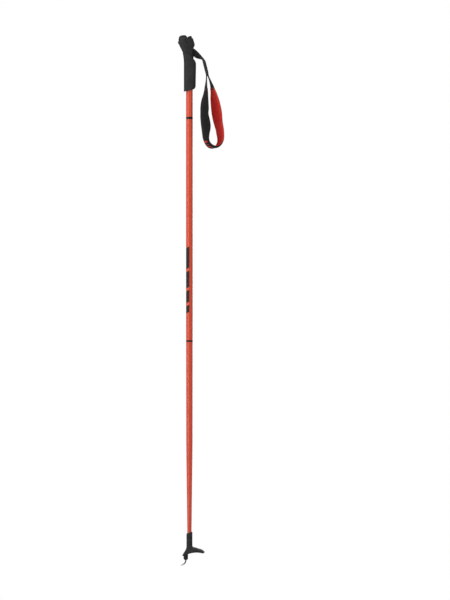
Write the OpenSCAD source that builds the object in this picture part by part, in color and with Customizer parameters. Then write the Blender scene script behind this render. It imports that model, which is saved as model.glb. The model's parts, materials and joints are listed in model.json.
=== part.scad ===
// Cross-country ski pole: a tapered tube, a two-part moulded grip with a wedge-locked
// hand strap, and a glued half-moon basket with a bent steel tip.
// Millimetres. +Z runs up the shaft, and the origin is on the shaft axis where the hand holds.
// +X is the back of the pole, the side of the strap and of the long half of the basket.

/* [Pole] */
// Length from the tip's lowest point to the middle of the strap's exit
pole_length = 1250; // [1000:5:1700]
// Height of the strap's exit above the middle of the hand's hold
exit_height = 50; // [46:0.5:60]

/* [Shaft] */
// Diameter of the painted upper shaft
shaft_d = 16.5; // [15.5:0.1:17.5]
// Depth ground off the bare end that is glued into the grip
grind_depth = 0.25; // [0.2:0.05:0.5]
// Diameter where the quick taper starts
taper_d = 15.6; // [13:0.1:16.4]
// Diameter of the end that is glued into the basket
end_d = 10.6; // [9:0.1:12]
// Wall of the tube
shaft_wall = 1.1; // [0.8:0.05:2]
// Length of the parallel stretch below the grip
parallel_length = 520; // [200:5:600]
// Length of the quick taper above the basket
quick_taper = 208; // [120:2:300]

/* [Handle] */
// Distance from the hand's middle down to the handle's lowest point
handle_drop = 45.4; // [38:0.2:60]
// Slant of the handle's lower end, in degrees
handle_slant = 13; // [0:1:20]
// Handle wall in front of the core
front_wall = 4; // [2.5:0.1:5.5]
// Handle wall behind the core at the palm swell
palm_wall = 6.5; // [4.5:0.1:9]
// Handle wall behind the core at the lower end
heel_wall = 5; // [3:0.1:7]
// Handle wall at the sides
side_wall = 3; // [2:0.1:4.5]
// Radius of the handle's lower rear corner
heel_round = 6; // [3:0.5:8]
// Wall of the head's core tube inside the handle
core_wall = 1; // [0.8:0.1:2.5]

/* [Head] */
// Reach of the front lobe ahead of the shaft axis
lobe_reach = 26.6; // [23:0.1:30]
// Height of the front lobe above the strap's exit
lobe_height = 42.5; // [38:0.5:50]
// How far the lip stands out below the front lobe
lip_reach = 2.2; // [0.5:0.1:3]
// How far the head's rear swell stands behind its core
swell_proud = 3.5; // [2.5:0.1:5]
// How far the head stands behind its core at the strap's exit
exit_proud = 0.1; // [0.1:0.1:1.5]
// Head wall at the sides of its core
cheek_wall = 3; // [2:0.1:5.5]
// How far the head stands proud of the handle at their seam
head_proud = 1.1; // [0.5:0.1:1.5]
// Radius of the curved seam between head and handle
seam_r = 25; // [23:0.5:28]
// Width of the slanting groove on each side of the head
groove_w = 2.8; // [1.4:0.1:4]
// Length of that groove
groove_length = 12.5; // [6:0.5:16]
// Depth of that groove
groove_depth = 1.8; // [0.6:0.1:2.2]

/* [Strap lock] */
// Width of the wedge across its front, at the head's top
wedge_w = 8; // [7:0.1:9.5]
// Depth of the wedge from front to back, at the head's top
wedge_depth = 10.2; // [9:0.1:10.8]
// Height of the wedge's horn above the head's rear deck
horn_height = 4.6; // [3:0.1:6]
// Wall of the head under the wedge
lock_floor = 3.4; // [2:0.1:6]

/* [Webbing] */
// Width of the webbing
web_w = 20; // [15:0.5:24]
// Thickness of one ply of webbing
web_t = 1.2; // [0.8:0.05:1.5]
// Distance from the strap's exit back to the knee where the strap turns down
knee_reach = 24.7; // [20:0.1:36]
// Drop from the strap's exit to the knee
knee_drop = 21; // [16:0.5:30]
// Length of doubled webbing below the knee
drop_length = 29.8; // [20:0.2:40]
// Angle that this doubled stretch leans back, in degrees
drop_lean = 14.1; // [6:0.1:20]

/* [Hand loop] */
// Length of the loop from the split down to its lowest point
loop_length = 182; // [150:1:220]
// Radius of the loop's round lower end
loop_r = 22; // [16:0.5:30]
// How far the legs bow outwards
loop_bow = 7; // [0:0.5:9]
// Angle that the hanging loop leans back, in degrees
loop_lean = 5.6; // [0:0.2:10]
// Angle that the loop is turned about the vertical, in degrees
loop_turn = 29; // [15:1:40]
// Angle that the legs twist either way, in degrees
leg_twist = 4; // [0:0.5:10]
// Angle that the pad's tips are turned back from its wings, in degrees
tip_twist = 6; // [0:0.5:10]
// Angle that the bare legs turn back below the split, in degrees
split_twist = 12; // [0:1:16]
// Length of bare webbing on each leg, from the split to the pad
bare_length = 37; // [20:1:50]
// Width of the pad at its tips
tip_w = 21; // [16:0.5:28]
// Width of the pad at its wings
wing_w = 44; // [34:0.5:52]
// Width of the pad at its bridge, the lowest part of the loop
bridge_w = 25; // [20:0.5:34]
// How far the pad's wings curl in towards the hand at their edges
pad_curl = 3.5; // [0:0.1:5]
// Thickness of the foam
foam_t = 2.2; // [1:0.1:4]
// Thickness of the outer fabric
outer_t = 0.9; // [0.5:0.05:1.5]
// Thickness of the lining
lining_t = 0.7; // [0.4:0.05:1.5]
// Length of each bar tack along the strap
tack_length = 4; // [2:0.5:8]
// Height of the stitches above the webbing
tack_t = 0.5; // [0.3:0.05:1]
// Distance of the stitches from the webbing's edges and ends
tack_inset = 1.5; // [0.5:0.1:3]

/* [Basket] */
// Height of the shaft's lower end above the tip
shaft_end_height = 48; // [44:0.5:60]
// Length of shaft glued into the basket
socket_length = 33; // [22:0.5:45]
// Slant of the sleeve's top edge, in degrees
sleeve_slant = 17; // [0:1:25]
// Sleeve wall at its top
sleeve_wall = 1.65; // [0.9:0.05:2.5]
// Sleeve wall at its foot
foot_wall = 1.4; // [0.8:0.05:2.2]
// Reach of the basket behind the shaft axis
basket_back = 37.2; // [32:0.2:45]
// Reach of the basket ahead of the shaft axis
basket_front = 17.6; // [15:0.2:22]
// Width of the basket from side to side
basket_w = 60; // [46:1:76]
// Radius of the dome from front to back
dome_r = 61.5; // [50:0.5:90]
// Radius of the dome from side to side
crown_r = 52; // [48:1:90]
// Radius of the brow between the dome and its steep front flank
brow_r = 6; // [4.5:0.5:9]
// Height of the dome's top above the tip
dome_height = 47.2; // [44:0.2:60]
// Rise of the low hump towards the dome's back
hump_rise = 1.5; // [0:0.1:3]
// Slope of the steep front flank, in degrees
flank_slope = 58; // [50:1:62]
// Height of the arched rim above the tip, at its middle
rim_height = 32.2; // [30:0.2:36]
// Radius of the rim's arch, seen from the side
rim_r = 58; // [50:1:80]
// Thickness of the dome
plate_t = 2.4; // [1.5:0.1:4]
// Thickness of the skirt round the rim
skirt_t = 2; // [1.2:0.1:4]
// Thickness of the ribs under the dome
rib_t = 1.6; // [1:0.1:3]

/* [Tip] */
// Distance of the tip's boss ahead of the shaft axis
boss_reach = 8.9; // [6:0.1:10]
// Diameter of the boss
boss_d = 11; // [8:0.1:12.4]
// Height of the boss's nose above the tip
nose_height = 14; // [13:0.1:16]
// Length of the boss's tapered nose
nose_length = 3.5; // [1:0.1:6]
// Diameter of the steel spike
spike_d = 3; // [2:0.1:4]
// Length of spike held in the boss
spike_hold = 14; // [8:0.5:16]
// Radius of the spike's bend
spike_bend_r = 11; // [7:0.5:14]
// Angle of the spike's bend, in degrees
spike_bend = 63; // [30:1:70]
// Straight length of spike after the bend
spike_straight = 3; // [1:0.5:8]
// Length of the ground point
point_length = 5; // [2:0.5:8]
// Diameter of the point's blunt end
point_d = 0.7; // [0.3:0.1:1.5]

/* [Fits] */
// Radial thickness of the glue line in the grip
grip_glue = 0.5; // [0.2:0.05:0.8]
// Radial thickness of the glue line in the basket
socket_glue = 0.35; // [0.2:0.05:0.6]
// Gap between a glue line and the parts it joins
glue_skin = 0.03; // [0.01:0.01:0.05]
// Gap between moulded parts that seat on each other
seat_gap = 0.1; // [0.05:0.01:0.2]
// Gap round the wedge in its cavity
wedge_gap = 0.3; // [0.2:0.05:0.5]
// Gap round the webbing in its slot
slot_gap = 0.3; // [0.2:0.05:0.6]
// Gap between the strap's hinged stretches
hinge_gap = 0.3; // [0.2:0.05:0.5]
// Gap between the sewn layers of the strap
ply_gap = 0.05; // [0.02:0.01:0.1]

/* [Hidden] */
$fn = 96;

// Reach of a cutting shape past the part
beyond = 8 * lobe_reach;

// Set-offs along the pole and round the grip
spigot_show = 0.6;
end_show = 6;
glue_inset = 8;
core_inset = 1;
heel_show = 0.4;
seam_rise = 1.5;
seam_drop = 5.5;
seam_lead = 0.4;
lip_drop = 18.5;
lip_rise = 5.5;
lip_fall = 4.5;
crown_drop = 6;
deck_drop = 6.1;
deck_slope = 4;
notch_lead = 0.6;
notch_step = 1.2;
ramp_reach = 17;
groove_turn = 53;
groove_lead = 3;

// Levels along the pole
z_exit = exit_height;
z_tip = z_exit - pole_length;
z_slot_low = z_exit - web_w / 2 - slot_gap;
z_slot_high = z_exit + web_w / 2 + slot_gap;
z_bore_top = z_slot_low - lock_floor;
z_shaft_top = z_bore_top - seat_gap;
z_handle_low = -handle_drop;
z_spigot_low = z_handle_low - spigot_show;
z_parallel_low = z_spigot_low - parallel_length;
z_shaft_end = z_tip + shaft_end_height;
z_socket_top = z_shaft_end + socket_length;
z_quick_low = z_socket_top + end_show;
z_quick_top = z_quick_low + quick_taper;

// Radii round the shaft axis
spigot_r = shaft_d / 2 - grind_depth;
bore_r = spigot_r + grip_glue;
core_r = bore_r + core_wall;
handle_bore_r = core_r + seat_gap;
socket_r = end_d / 2 + socket_glue;

// Handle and head in plan, front and back of the shaft axis
handle_front = handle_bore_r + front_wall;
palm_back = handle_bore_r + palm_wall;
heel_back = handle_bore_r + heel_wall;
handle_half = handle_bore_r + side_wall;
head_half = core_r + cheek_wall;
head_back = core_r + swell_proud;
exit_back = core_r + exit_proud;
z_seam_front = z_exit + seam_rise;
z_seam_back = z_slot_low - seam_drop;
seam_x = -handle_front - seam_lead;
z_top = z_exit + lobe_height;
z_lip = z_top - lip_drop;
z_deck = z_top - deck_drop;
around = 40;
section_power = 2.4;

// Wedge and webbing in plan
wedge_front_r = wedge_w / 2;
wedge_back_r = wedge_front_r / 2;
wedge_lead = 4.2;
wedge_front_x = wedge_front_r - wedge_lead;
wedge_back_x = wedge_depth - wedge_lead - wedge_back_r;
fold_r = wedge_front_r - web_t - ply_gap;
fold_x = wedge_back_x + 0.8;
tongue_r = fold_r - wedge_gap;
tongue_back_r = 0.4;
tongue_taper = 0.8;
horn_inset = 2.8;
horn_fall = 2.4;
horn_back = 2.6;
plies_t = 2 * web_t + ply_gap;
z_tongue_low = z_slot_low + seat_gap;
z_shoulder = z_exit + web_w / 2 + hinge_gap;

// Strap route: exit, knee, split, and the loop's own directions
hinge_out = 1.2;
exit_x = exit_back + hinge_out;
exit_point = [exit_x, 0, z_exit];
knee_point = [exit_x + knee_reach, 0, z_exit - knee_drop];
knee_turn = 0.58 * loop_turn;
drop_axis = [sin(drop_lean), 0, -cos(drop_lean)];
lean_axis = [sin(loop_lean), 0, -cos(loop_lean)];
split_point = knee_point + drop_length * drop_axis;
loop_h = loop_length - loop_r;
loop_alpha = asin(loop_r / loop_h);
leg_length = loop_h * cos(loop_alpha);
leg_start = bare_length / leg_length;
pad_leg = leg_length - bare_length;
pad_arc = loop_r * (180 + 2 * loop_alpha) * PI / 180;
pad_length = 2 * pad_leg + pad_arc;
wing_at = 0.44;
near_bow = 1.5;
far_bow = 0.75;
cup_middle = 0.4;
leg_steps = 14;
arc_steps = 16;
nose_steps = 4;
nose_angle = 86;
across = [-1, -0.82, -0.45, 0, 0.45, 0.82, 1];

// Basket and tip
apex_x = -1;
rim_x = 17;
crown_angle = 44;
dome_angle = 50;
hump_x = 32;
hump_half = 11;
z_dome_low = z_tip + nose_height - 2;
hub_drop = 2;
rib_drop = 2.5;
rib_turn = 62;
rib_inset = 3;
foot_flare = 0.2;
nose_wall = 0.8;
socket_floor = z_shaft_end - seat_gap;
hub_r = socket_r + foot_wall;
lens_back_r = basket_back;
lens_front_r = basket_w / 2;
lens_front_x = lens_front_r - basket_front;
spike_r = spike_d / 2;
draw_step = 0.04;
spike_out = spike_straight + point_length;
spike_bend_low = spike_bend_r * sin(spike_bend) + spike_out * cos(spike_bend)
    + point_d / 2 * sin(spike_bend);
z_bend = z_tip + spike_bend_low;
z_nose = z_tip + nose_height;

// Slope of column c at row i of a station list whose first column is the height
function slope(s, i, c) =
    let (a = max(i - 1, 0), b = min(i + 1, len(s) - 1))
    (s[b][c] - s[a][c]) / (s[b][0] - s[a][0]);

// Row of the station just below height z
function span(s, z, i = 0) = i >= len(s) - 2 || z <= s[i + 1][0] ? i : span(s, z, i + 1);

// Smooth value of column c at height z
function along(s, z, c) =
    let (i = span(s, z), h = s[i + 1][0] - s[i][0], t = (z - s[i][0]) / h)
    (1 + 2 * t) * (1 - t) ^ 2 * s[i][c] + t * (1 - t) ^ 2 * h * slope(s, i, c)
    + t ^ 2 * (3 - 2 * t) * s[i + 1][c] + t ^ 2 * (t - 1) * h * slope(s, i + 1, c);

// Superellipse ring at height z between a front and a back, with a half width
function squared(v) = sign(v) * abs(v) ^ (2 / section_power);
function ring(z, front, back, half) =
    [for (k = [0 : around - 1]) let (a = 360 * k / around)
        [(front + back) / 2 + (back - front) / 2 * squared(cos(a)), half * squared(sin(a)), z]];

// Rings of a loft through a station list of height, front, back and half width
function loft_rings(s, levels, bump) =
    [for (z = levels) ring(z, along(s, z, 1) - bump * lip(z), along(s, z, 2), along(s, z, 3))];

// Height of the pointed lip under the front lobe, from 0 to 1
function lip(z) = max(0, 1 - abs(z - z_lip) / (z < z_lip ? lip_rise : lip_fall));

// Closed skin over a row of rings with equal counts of points. The two halves of a ring are split into
// triangles as mirror images, so that layers which lie on each other bend alike
module skin(rings) {
    n = len(rings[0]);
    m = len(rings);
    sides = [for (i = [0 : m - 2], k = [0 : n - 1])
        let (a = i * n + k, b = i * n + (k + 1) % n, c = b + n, d = a + n)
        each k < n / 2 ? [[a, c, b], [a, d, c]] : [[a, d, b], [b, d, c]]];
    low_cap = [for (k = [1 : n - 2]) [0, k, k + 1]];
    high_cap = [for (k = [1 : n - 2]) [(m - 1) * n, (m - 1) * n + k + 1, (m - 1) * n + k]];
    polyhedron([for (r = rings) each r], concat(sides, low_cap, high_cap), convexity = 8);
}

// Outline round two circles on the X axis, as a belt lies round two pulleys
function belt(xa, ra, xb, rb) =
    let (phi = acos((ra - rb) / (xb - xa)))
    concat(
        [for (k = [0 : 16]) let (a = phi + (360 - 2 * phi) * k / 16) [xa + ra * cos(a), ra * sin(a)]],
        [for (k = [0 : 8]) let (a = -phi + 2 * phi * k / 8) [xb + rb * cos(a), rb * sin(a)]]);

// Unit vector
function unit(v) = v / norm(v);

// Ring of a flat strap: centre p, travel t, width direction w, half width and a list of
// [share of the half width, lowest, highest] across it
function strap_ring(p, t, w, half, profile) =
    let (n = unit(cross(t, w)), c = len(profile))
    concat(
        [for (k = [0 : c - 1]) p + profile[k][0] * half * w + profile[k][1] * n],
        [for (k = [c - 1 : -1 : 0]) p + profile[k][0] * half * w + profile[k][2] * n]);

// Level direction across a strap that is turned about the vertical
function turned(b) = [sin(b), -cos(b), 0];

// Loop route: u along the spread direction and l down from the split, as [u, l]. The near leg bows low
// and the far leg high
function leg_place(side, t) =
    let (
        out = [side * cos(loop_alpha), -sin(loop_alpha)],
        bow = sin(180 * t ^ (side < 0 ? near_bow : far_bow)) ^ 2
    )
    t * leg_length * [side * sin(loop_alpha), cos(loop_alpha)] + loop_bow * bow * out;
function arc_place(a) = [loop_r * cos(a), loop_h + loop_r * sin(a)];

// Turn of the loop at a share q of the pad's length, less at the near leg and at the tips
function pad_turn(q) =
    let (s = min(1, 2 * min(q, 1 - q) / wing_at))
    loop_turn - leg_twist * cos(180 * q) - tip_twist * cos(90 * s) ^ 2;

// Point in space of a loop place, turned by b. Places above the split lie on the doubled stretch
function loop_point(place, b) =
    split_point + place[1] * (place[1] < 0 ? drop_axis : lean_axis) + place[0] * [cos(b), sin(b), 0];

// Pad route: rows of [share, place] from the near tip down and up to the far tip
near_rows = [for (k = [0 : leg_steps - 1])
    let (t = leg_start + (1 - leg_start) * k / leg_steps)
    [(t - leg_start) * leg_length / pad_length, leg_place(-1, t)]];
arc_rows = [for (k = [0 : arc_steps])
    let (a = 180 + loop_alpha - (180 + 2 * loop_alpha) * k / arc_steps)
    [(pad_leg + pad_arc * k / arc_steps) / pad_length, arc_place(a)]];
far_rows = [for (k = [leg_steps - 1 : -1 : 0])
    let (t = leg_start + (1 - leg_start) * k / leg_steps)
    [1 - (t - leg_start) * leg_length / pad_length, leg_place(1, t)]];
pad_rows = concat(near_rows, arc_rows, far_rows);

// Half width of the pad at a share q of its length
function pad_half(q) =
    let (s = 2 * min(q, 1 - q), x = s < wing_at ? s / wing_at : (1 - s) / (1 - wing_at))
    s < wing_at ? (tip_w + (wing_w - tip_w) * (1 - (1 - x) ^ 2)) / 2
        : (bridge_w + (wing_w - bridge_w) * x ^ 2 * (3 - 2 * x)) / 2;

// Cup of the pad at a share q of its length, deepest at the wings and none at the tips
function pad_cup(q) = pad_curl * ((2 * pad_half(q) - tip_w) / (wing_w - tip_w)) ^ 2;

// Half thickness of the foam at a share v of its half width, thin at the sewn edges
function foam_half(v) = foam_t / 2 * (1 - 0.75 * v ^ 6);

// Travel direction along a list of points
function travel(points, i) =
    unit(points[min(i + 1, len(points) - 1)] - points[max(i - 1, 0)]);

// Sweep of one sewn layer round the pad route
module pad_layer(profile) {
    points = [for (r = pad_rows) loop_point(r[1], pad_turn(r[0]))];
    skin([for (i = [0 : len(points) - 1])
        let (q = pad_rows[i][0], cupped = [for (p = profile)
            let (lift = pad_cup(q) * (cup_middle - p[0] ^ 2)) [p[0], p[1] + lift, p[2] + lift]])
        strap_ring(points[i], travel(points, i), turned(pad_turn(q)), pad_half(q), cupped)]);
}

// Leg route of the webbing from below the knee to the pad, rows of [turn, place]. The doubled stretch
// lies flat, and below the split each leg turns back and then out to its wing
knee_clear = plies_t / 2 + hinge_gap;
sewn_length = tack_length + 2 * tack_inset;
function web_rows(side) = concat(
    [for (k = [0 : 4])
        let (l = -drop_length + knee_clear + (drop_length - knee_clear - sewn_length) * k / 4)
        [knee_turn, [0, l]]],
    [for (k = [0 : 10])
        let (s = k / 10, t = (leg_start - ply_gap / leg_length) * s)
        [knee_turn + s * (pad_turn(side < 0 ? 0 : 1) - knee_turn) - split_twist * sin(180 * s ^ 0.6),
            leg_place(side, t)]]);

// Ply of webbing that lies on the outer side of one leg's route
module leg_web(side) {
    rows = web_rows(side);
    points = [for (r = rows) loop_point(r[1], r[0])];
    low = side < 0 ? ply_gap / 2 : -ply_gap / 2 - web_t;
    high = low + web_t;
    skin([for (i = [0 : len(rows) - 1])
        strap_ring(points[i], travel(points, i), turned(rows[i][0]), web_w / 2,
            [[-1, low, high], [1, low, high]])]);
}

// Tapered tube with a bare end ground for the grip and a parallel end for the basket
module shaft_tube() {
    outer = [
        [spigot_r, z_shaft_top], [spigot_r, z_spigot_low], [shaft_d / 2, z_spigot_low],
        [shaft_d / 2, z_parallel_low], [taper_d / 2, z_quick_top],
        [end_d / 2, z_quick_low], [end_d / 2, z_shaft_end]
    ];
    inner = [
        [end_d / 2 - shaft_wall, z_shaft_end], [end_d / 2 - shaft_wall, z_quick_low],
        [taper_d / 2 - shaft_wall, z_quick_top], [spigot_r - shaft_wall, z_parallel_low],
        [spigot_r - shaft_wall, z_shaft_top]
    ];
    color("#d9401f") rotate_extrude() polygon(concat(outer, inner));
}

// Hot-melt glue line between the shaft and the head's core
module grip_adhesive() {
    low = z_handle_low + glue_inset;
    high = z_shaft_top - spigot_r / 4;
    color("#c9b98a") translate([0, 0, low]) difference() {
        cylinder(r = bore_r - glue_skin, h = high - low);
        translate([0, 0, -1]) cylinder(r = spigot_r + glue_skin, h = beyond);
    }
}

// Half space on the handle's side of the seam, set back by a gap
module handle_side(gap) {
    translate([seam_x, beyond / 2, z_seam_front - seam_r]) rotate([90, 0, 0])
        cylinder(r = seam_r - gap, h = beyond);
    translate([-beyond / 2, -beyond / 2, z_seam_back - gap - beyond]) cube(beyond);
}

// Everything above the handle's slanted lower end and its round rear corner, drawn in by an inset
module above_heel(inset) {
    rise = tan(handle_slant);
    round_x = heel_back + heel_show - heel_round;
    round_z = z_handle_low + (handle_front + round_x) * rise + heel_round / cos(handle_slant);
    translate([0, beyond / 2, 0]) rotate([90, 0, 0]) linear_extrude(height = beyond)
        offset(delta = -inset) hull() {
            translate([round_x, round_z]) circle(r = heel_round);
            polygon([
                [-beyond, z_handle_low + (handle_front - beyond) * rise], [-beyond, beyond],
                [palm_back + heel_round, beyond]
            ]);
        }
}

// Soft handle over the core, with a palm swell and a slanted lower end
module handle_sleeve() {
    stations = [
        [z_handle_low - 12, -handle_front, heel_back - 0.4, handle_half - 0.4],
        [z_handle_low + 12, -handle_front, heel_back + 0.6, handle_half - 0.3],
        [-8, -handle_front, palm_back - 0.4, handle_half],
        [z_seam_back - 17, -handle_front, palm_back, handle_half + 0.2],
        [z_seam_back - 9, -handle_front, palm_back - 0.4, handle_half],
        [z_seam_back + 3, -handle_front - 0.9, exit_back + 0.9, head_half - head_proud - 0.4],
        [z_seam_front + 3, -handle_front - 3.7, exit_back - 0.8, head_half - head_proud]
    ];
    low = stations[0][0];
    high = z_seam_front + 3;
    levels = [for (k = [0 : 30]) low + (high - low) * k / 30];
    color("#3a3a3c") difference() {
        intersection() {
            skin(loft_rings(stations, levels, 0));
            handle_side(seat_gap);
            above_heel(0);
        }
        translate([0, 0, z_handle_low - core_r]) cylinder(r = handle_bore_r, h = beyond);
    }
}

// Cavity for the wedge and the folded webbing, open at the head's top and back
module lock_cavity() {
    translate([0, 0, z_slot_low]) linear_extrude(height = beyond)
        polygon(belt(wedge_front_x, wedge_front_r + wedge_gap, wedge_back_x, wedge_back_r + wedge_gap));
    translate([wedge_back_x, -plies_t / 2 - slot_gap, z_slot_low])
        cube([beyond, plies_t + 2 * slot_gap, z_slot_high - z_slot_low]);
}

// Slanting slot through the head's sides, as deep as the side grooves where the inner skin stops it
module side_groove() {
    translate([groove_lead - lobe_reach / 2, beyond / 2, z_lip + 7.5]) rotate([90, groove_turn, 0])
        linear_extrude(height = beyond) intersection() {
            translate([0, -groove_w / 2]) square([groove_length, groove_w]);
            translate([groove_length / 2, 0]) circle(r = groove_length / 2);
        }
}

// Skin of the head, made smaller all round by an inset
module head_skin(inset) {
    stations = [
        [z_seam_back - 4, -handle_front - 0.4, exit_back + 0.9, head_half - 0.4],
        [z_exit - 3, -handle_front - 2.6, exit_back, head_half],
        [z_exit + 5, -handle_front - 5, exit_back, head_half],
        [z_exit + 12, -handle_front - 8.5, exit_back + 1, head_half],
        [z_lip - lip_rise, -lobe_reach + 1.6, head_back, head_half],
        [z_lip + lip_fall, -lobe_reach, head_back - 2.4, head_half - 0.6],
        [z_top - crown_drop, -lobe_reach + 0.8, head_back - 5.4, head_half - 2.4],
        [z_top - 3, -lobe_reach + 2.6, head_back - 8, head_half - 4.6],
        [z_top - 0.8, -lobe_reach + 6.8, head_back - 12, head_half - 7.6],
        [z_top, -lobe_reach + 11, head_back - 19, head_half - 11]
    ];
    shrunk = [for (s = stations) [s[0], s[1] + inset, s[2] - inset, s[3] - inset]];
    low = stations[0][0];
    sides = [for (k = [0 : 13]) low + (z_lip - low) * k / 13];
    lobe = [for (k = [1 : 8]) z_lip + (z_top - crown_drop - z_lip) * k / 8];
    dome = [for (k = [1 : 7]) z_top - crown_drop * (1 - sin(90 * k / 7))];
    skin(loft_rings(shrunk, concat(sides, lobe, dome), lip_reach));
}

// Hard head with the strap lock's cavity, and the core tube that carries the handle
module grip_head() {
    ramp_x = ramp_reach - lobe_reach;
    notch_x = wedge_front_x - wedge_front_r - wedge_gap - notch_lead;
    z_core_low = z_handle_low - core_r;
    color("#303033") difference() {
        union() {
            difference() {
                head_skin(0);
                handle_side(0);
            }
            intersection() {
                translate([0, 0, z_core_low])
                    cylinder(r = core_r, h = z_seam_front + seam_rise - z_core_low);
                above_heel(core_inset);
            }
        }
        translate([0, 0, z_bore_top - beyond]) cylinder(r = bore_r, h = beyond);
        lock_cavity();
        translate([0, beyond / 2, 0]) rotate([90, 0, 0]) linear_extrude(height = beyond) polygon([
            [ramp_x, z_top], [notch_x, z_deck + notch_step], [notch_x, z_deck],
            [beyond, z_deck - (beyond - notch_x) * tan(deck_slope)], [beyond, z_top + beyond],
            [ramp_x, z_top + beyond]
        ]);
        difference() {
            side_groove();
            head_skin(groove_depth);
        }
    }
}

// Wedge that locks the strap: a thin tongue in the webbing's fold, a shoulder and a thumb horn
module strap_wedge() {
    front = wedge_front_x - wedge_front_r;
    back = wedge_back_x + wedge_back_r;
    toe = tongue_r - tongue_taper;
    color("#262628") {
        intersection() {
            translate([0, 0, z_shoulder]) linear_extrude(height = beyond)
                polygon(belt(wedge_front_x, wedge_front_r, wedge_back_x, wedge_back_r));
            translate([0, beyond / 2, 0]) rotate([90, 0, 0]) linear_extrude(height = beyond) polygon([
                [front, z_shoulder], [back, z_shoulder], [back, z_deck + horn_back],
                [back - horn_inset, z_deck + horn_height], [front, z_deck + horn_height - horn_fall]
            ]);
        }
        intersection() {
            translate([0, 0, z_tongue_low]) linear_extrude(height = z_shoulder - z_tongue_low)
                polygon(belt(wedge_front_x, tongue_r, wedge_back_x - tongue_back_r, tongue_back_r));
            translate([-beyond / 2, 0, 0]) rotate([90, 0, 90]) linear_extrude(height = beyond) polygon([
                [-toe, z_tongue_low], [toe, z_tongue_low], [tongue_r, z_shoulder], [-tongue_r, z_shoulder]
            ]);
        }
    }
}

// Fold of webbing round the wedge's tongue, and its two tails in the slot
module webbing_in_grip() {
    tail = exit_x - plies_t / 2 - hinge_gap;
    color("#1d1d1f") translate([0, 0, z_exit - web_w / 2]) linear_extrude(height = web_w) {
        difference() {
            polygon(belt(wedge_front_x, fold_r + web_t, fold_x, plies_t / 2));
            polygon(belt(wedge_front_x, fold_r, fold_x, ply_gap / 2));
        }
        for (side = [-1, 1])
            translate([fold_x, side > 0 ? ply_gap / 2 : -plies_t / 2]) square([tail - fold_x, web_t]);
    }
}

// Point of the neck's curved route at a share s from the exit to the knee
function neck_point(s) =
    let (
        a = exit_point,
        b = exit_point + [0.36 * knee_reach, 0, -0.34 * knee_drop],
        c = knee_point + [-0.13 * knee_reach, 0, 0.41 * knee_drop],
        d = knee_point
    )
    (1 - s) ^ 3 * a + 3 * s * (1 - s) ^ 2 * b + 3 * s ^ 2 * (1 - s) * c + s ^ 3 * d;

// Width direction of the neck: upright at the exit and a little past it, level and turned at the knee
function neck_across(s) =
    let (
        t = max(0, (s - 0.06) / 0.94),
        roll = 90 * t * (1.7 - 0.7 * t),
        b = knee_turn * max(0, (s - 0.5) / 0.5) ^ 2
    )
    cos(roll) * [0, 0, 1] + sin(roll) * turned(b);

// Sewn pair of plies that leaves the slot upright and twists flat towards the knee, with round ends
module webbing_neck() {
    r = plies_t / 2;
    count = 30;
    out = [1, 0, 0];
    shares = [for (k = [0 : count]) k / count];
    points = [for (s = shares) neck_point(s)];
    down = travel(points, count);
    rows = [for (i = [0 : count])
        strap_ring(points[i], i > 0 ? travel(points, i) : out, neck_across(shares[i]), web_w / 2,
            [[-1, -r, r], [1, -r, r]])];
    start = [for (k = [nose_steps : -1 : 1]) let (a = nose_angle * k / nose_steps, e = r * cos(a))
        strap_ring(points[0] - r * sin(a) * out, out, neck_across(0), web_w / 2, [[-1, -e, e], [1, -e, e]])];
    end = [for (k = [1 : nose_steps]) let (a = nose_angle * k / nose_steps, e = r * cos(a))
        strap_ring(points[count] + r * sin(a) * down, down, neck_across(1), web_w / 2,
            [[-1, -e, e], [1, -e, e]])];
    color("#1d1d1f") skin(concat(start, rows, end));
}

// Ply of webbing from the knee to the near wing
module webbing_near_leg() {
    color("#1d1d1f") leg_web(-1);
}

// Ply of webbing from the knee to the far wing
module webbing_far_leg() {
    color("#1d1d1f") leg_web(1);
}

// Black outer fabric of the pad
module pad_outer_fabric() {
    color("#1b1b1d") pad_layer([for (v = across)
        [v, foam_half(v) + ply_gap, foam_half(v) + ply_gap + outer_t]]);
}

// Foam core of the pad
module pad_foam() {
    color("#4a4a4c") pad_layer([for (v = across) [v, -foam_half(v), foam_half(v)]]);
}

// Red lining on the pad's inside
module pad_lining() {
    color("#c8261c") pad_layer([for (v = across)
        [v, -foam_half(v) - ply_gap - lining_t, -foam_half(v) - ply_gap]]);
}

// Bars of stitches on both faces of a strap, between two places on its route and at a height off its middle
module stitch_bars(first, last, turn, height) {
    points = [loop_point(first, turn), loop_point(last, turn)];
    for (face = [-1, 1]) {
        low = face > 0 ? height : -height - tack_t;
        skin([for (i = [0, 1]) strap_ring(points[i], travel(points, i), turned(turn), web_w / 2 - tack_inset,
            [[-1, low, low + tack_t], [1, low, low + tack_t]])]);
    }
}

// Stitches that hold the two plies together just above the split
module neck_bar_tack() {
    color("#2a2a2c")
        stitch_bars([0, -tack_length - tack_inset], [0, -tack_inset], knee_turn, plies_t / 2 + ply_gap);
}

// Stitches through one tip of the pad
module wing_tack(side) {
    first = leg_start + tack_inset / leg_length;
    last = first + tack_length / leg_length;
    color("#2a2a2c") stitch_bars(leg_place(side, first), leg_place(side, last), pad_turn(side < 0 ? 0 : 1),
        foam_t / 2 + 4 * ply_gap + outer_t);
}

// Stitches at the near tip of the pad
module near_bar_tack() {
    wing_tack(-1);
}

// Stitches at the far tip of the pad
module far_bar_tack() {
    wing_tack(1);
}

// Plan of the basket, a lens with a broad front and a trimmed back, made smaller by an inset
module basket_plan(inset) {
    intersection() {
        circle(r = lens_back_r - inset);
        translate([lens_front_x, 0]) circle(r = lens_front_r - inset);
    }
}

// Share of the hump at a distance x behind the shaft axis
function hump(x) = max(0, 1 - ((x - hump_x) / hump_half) ^ 2) ^ 2;

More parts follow.
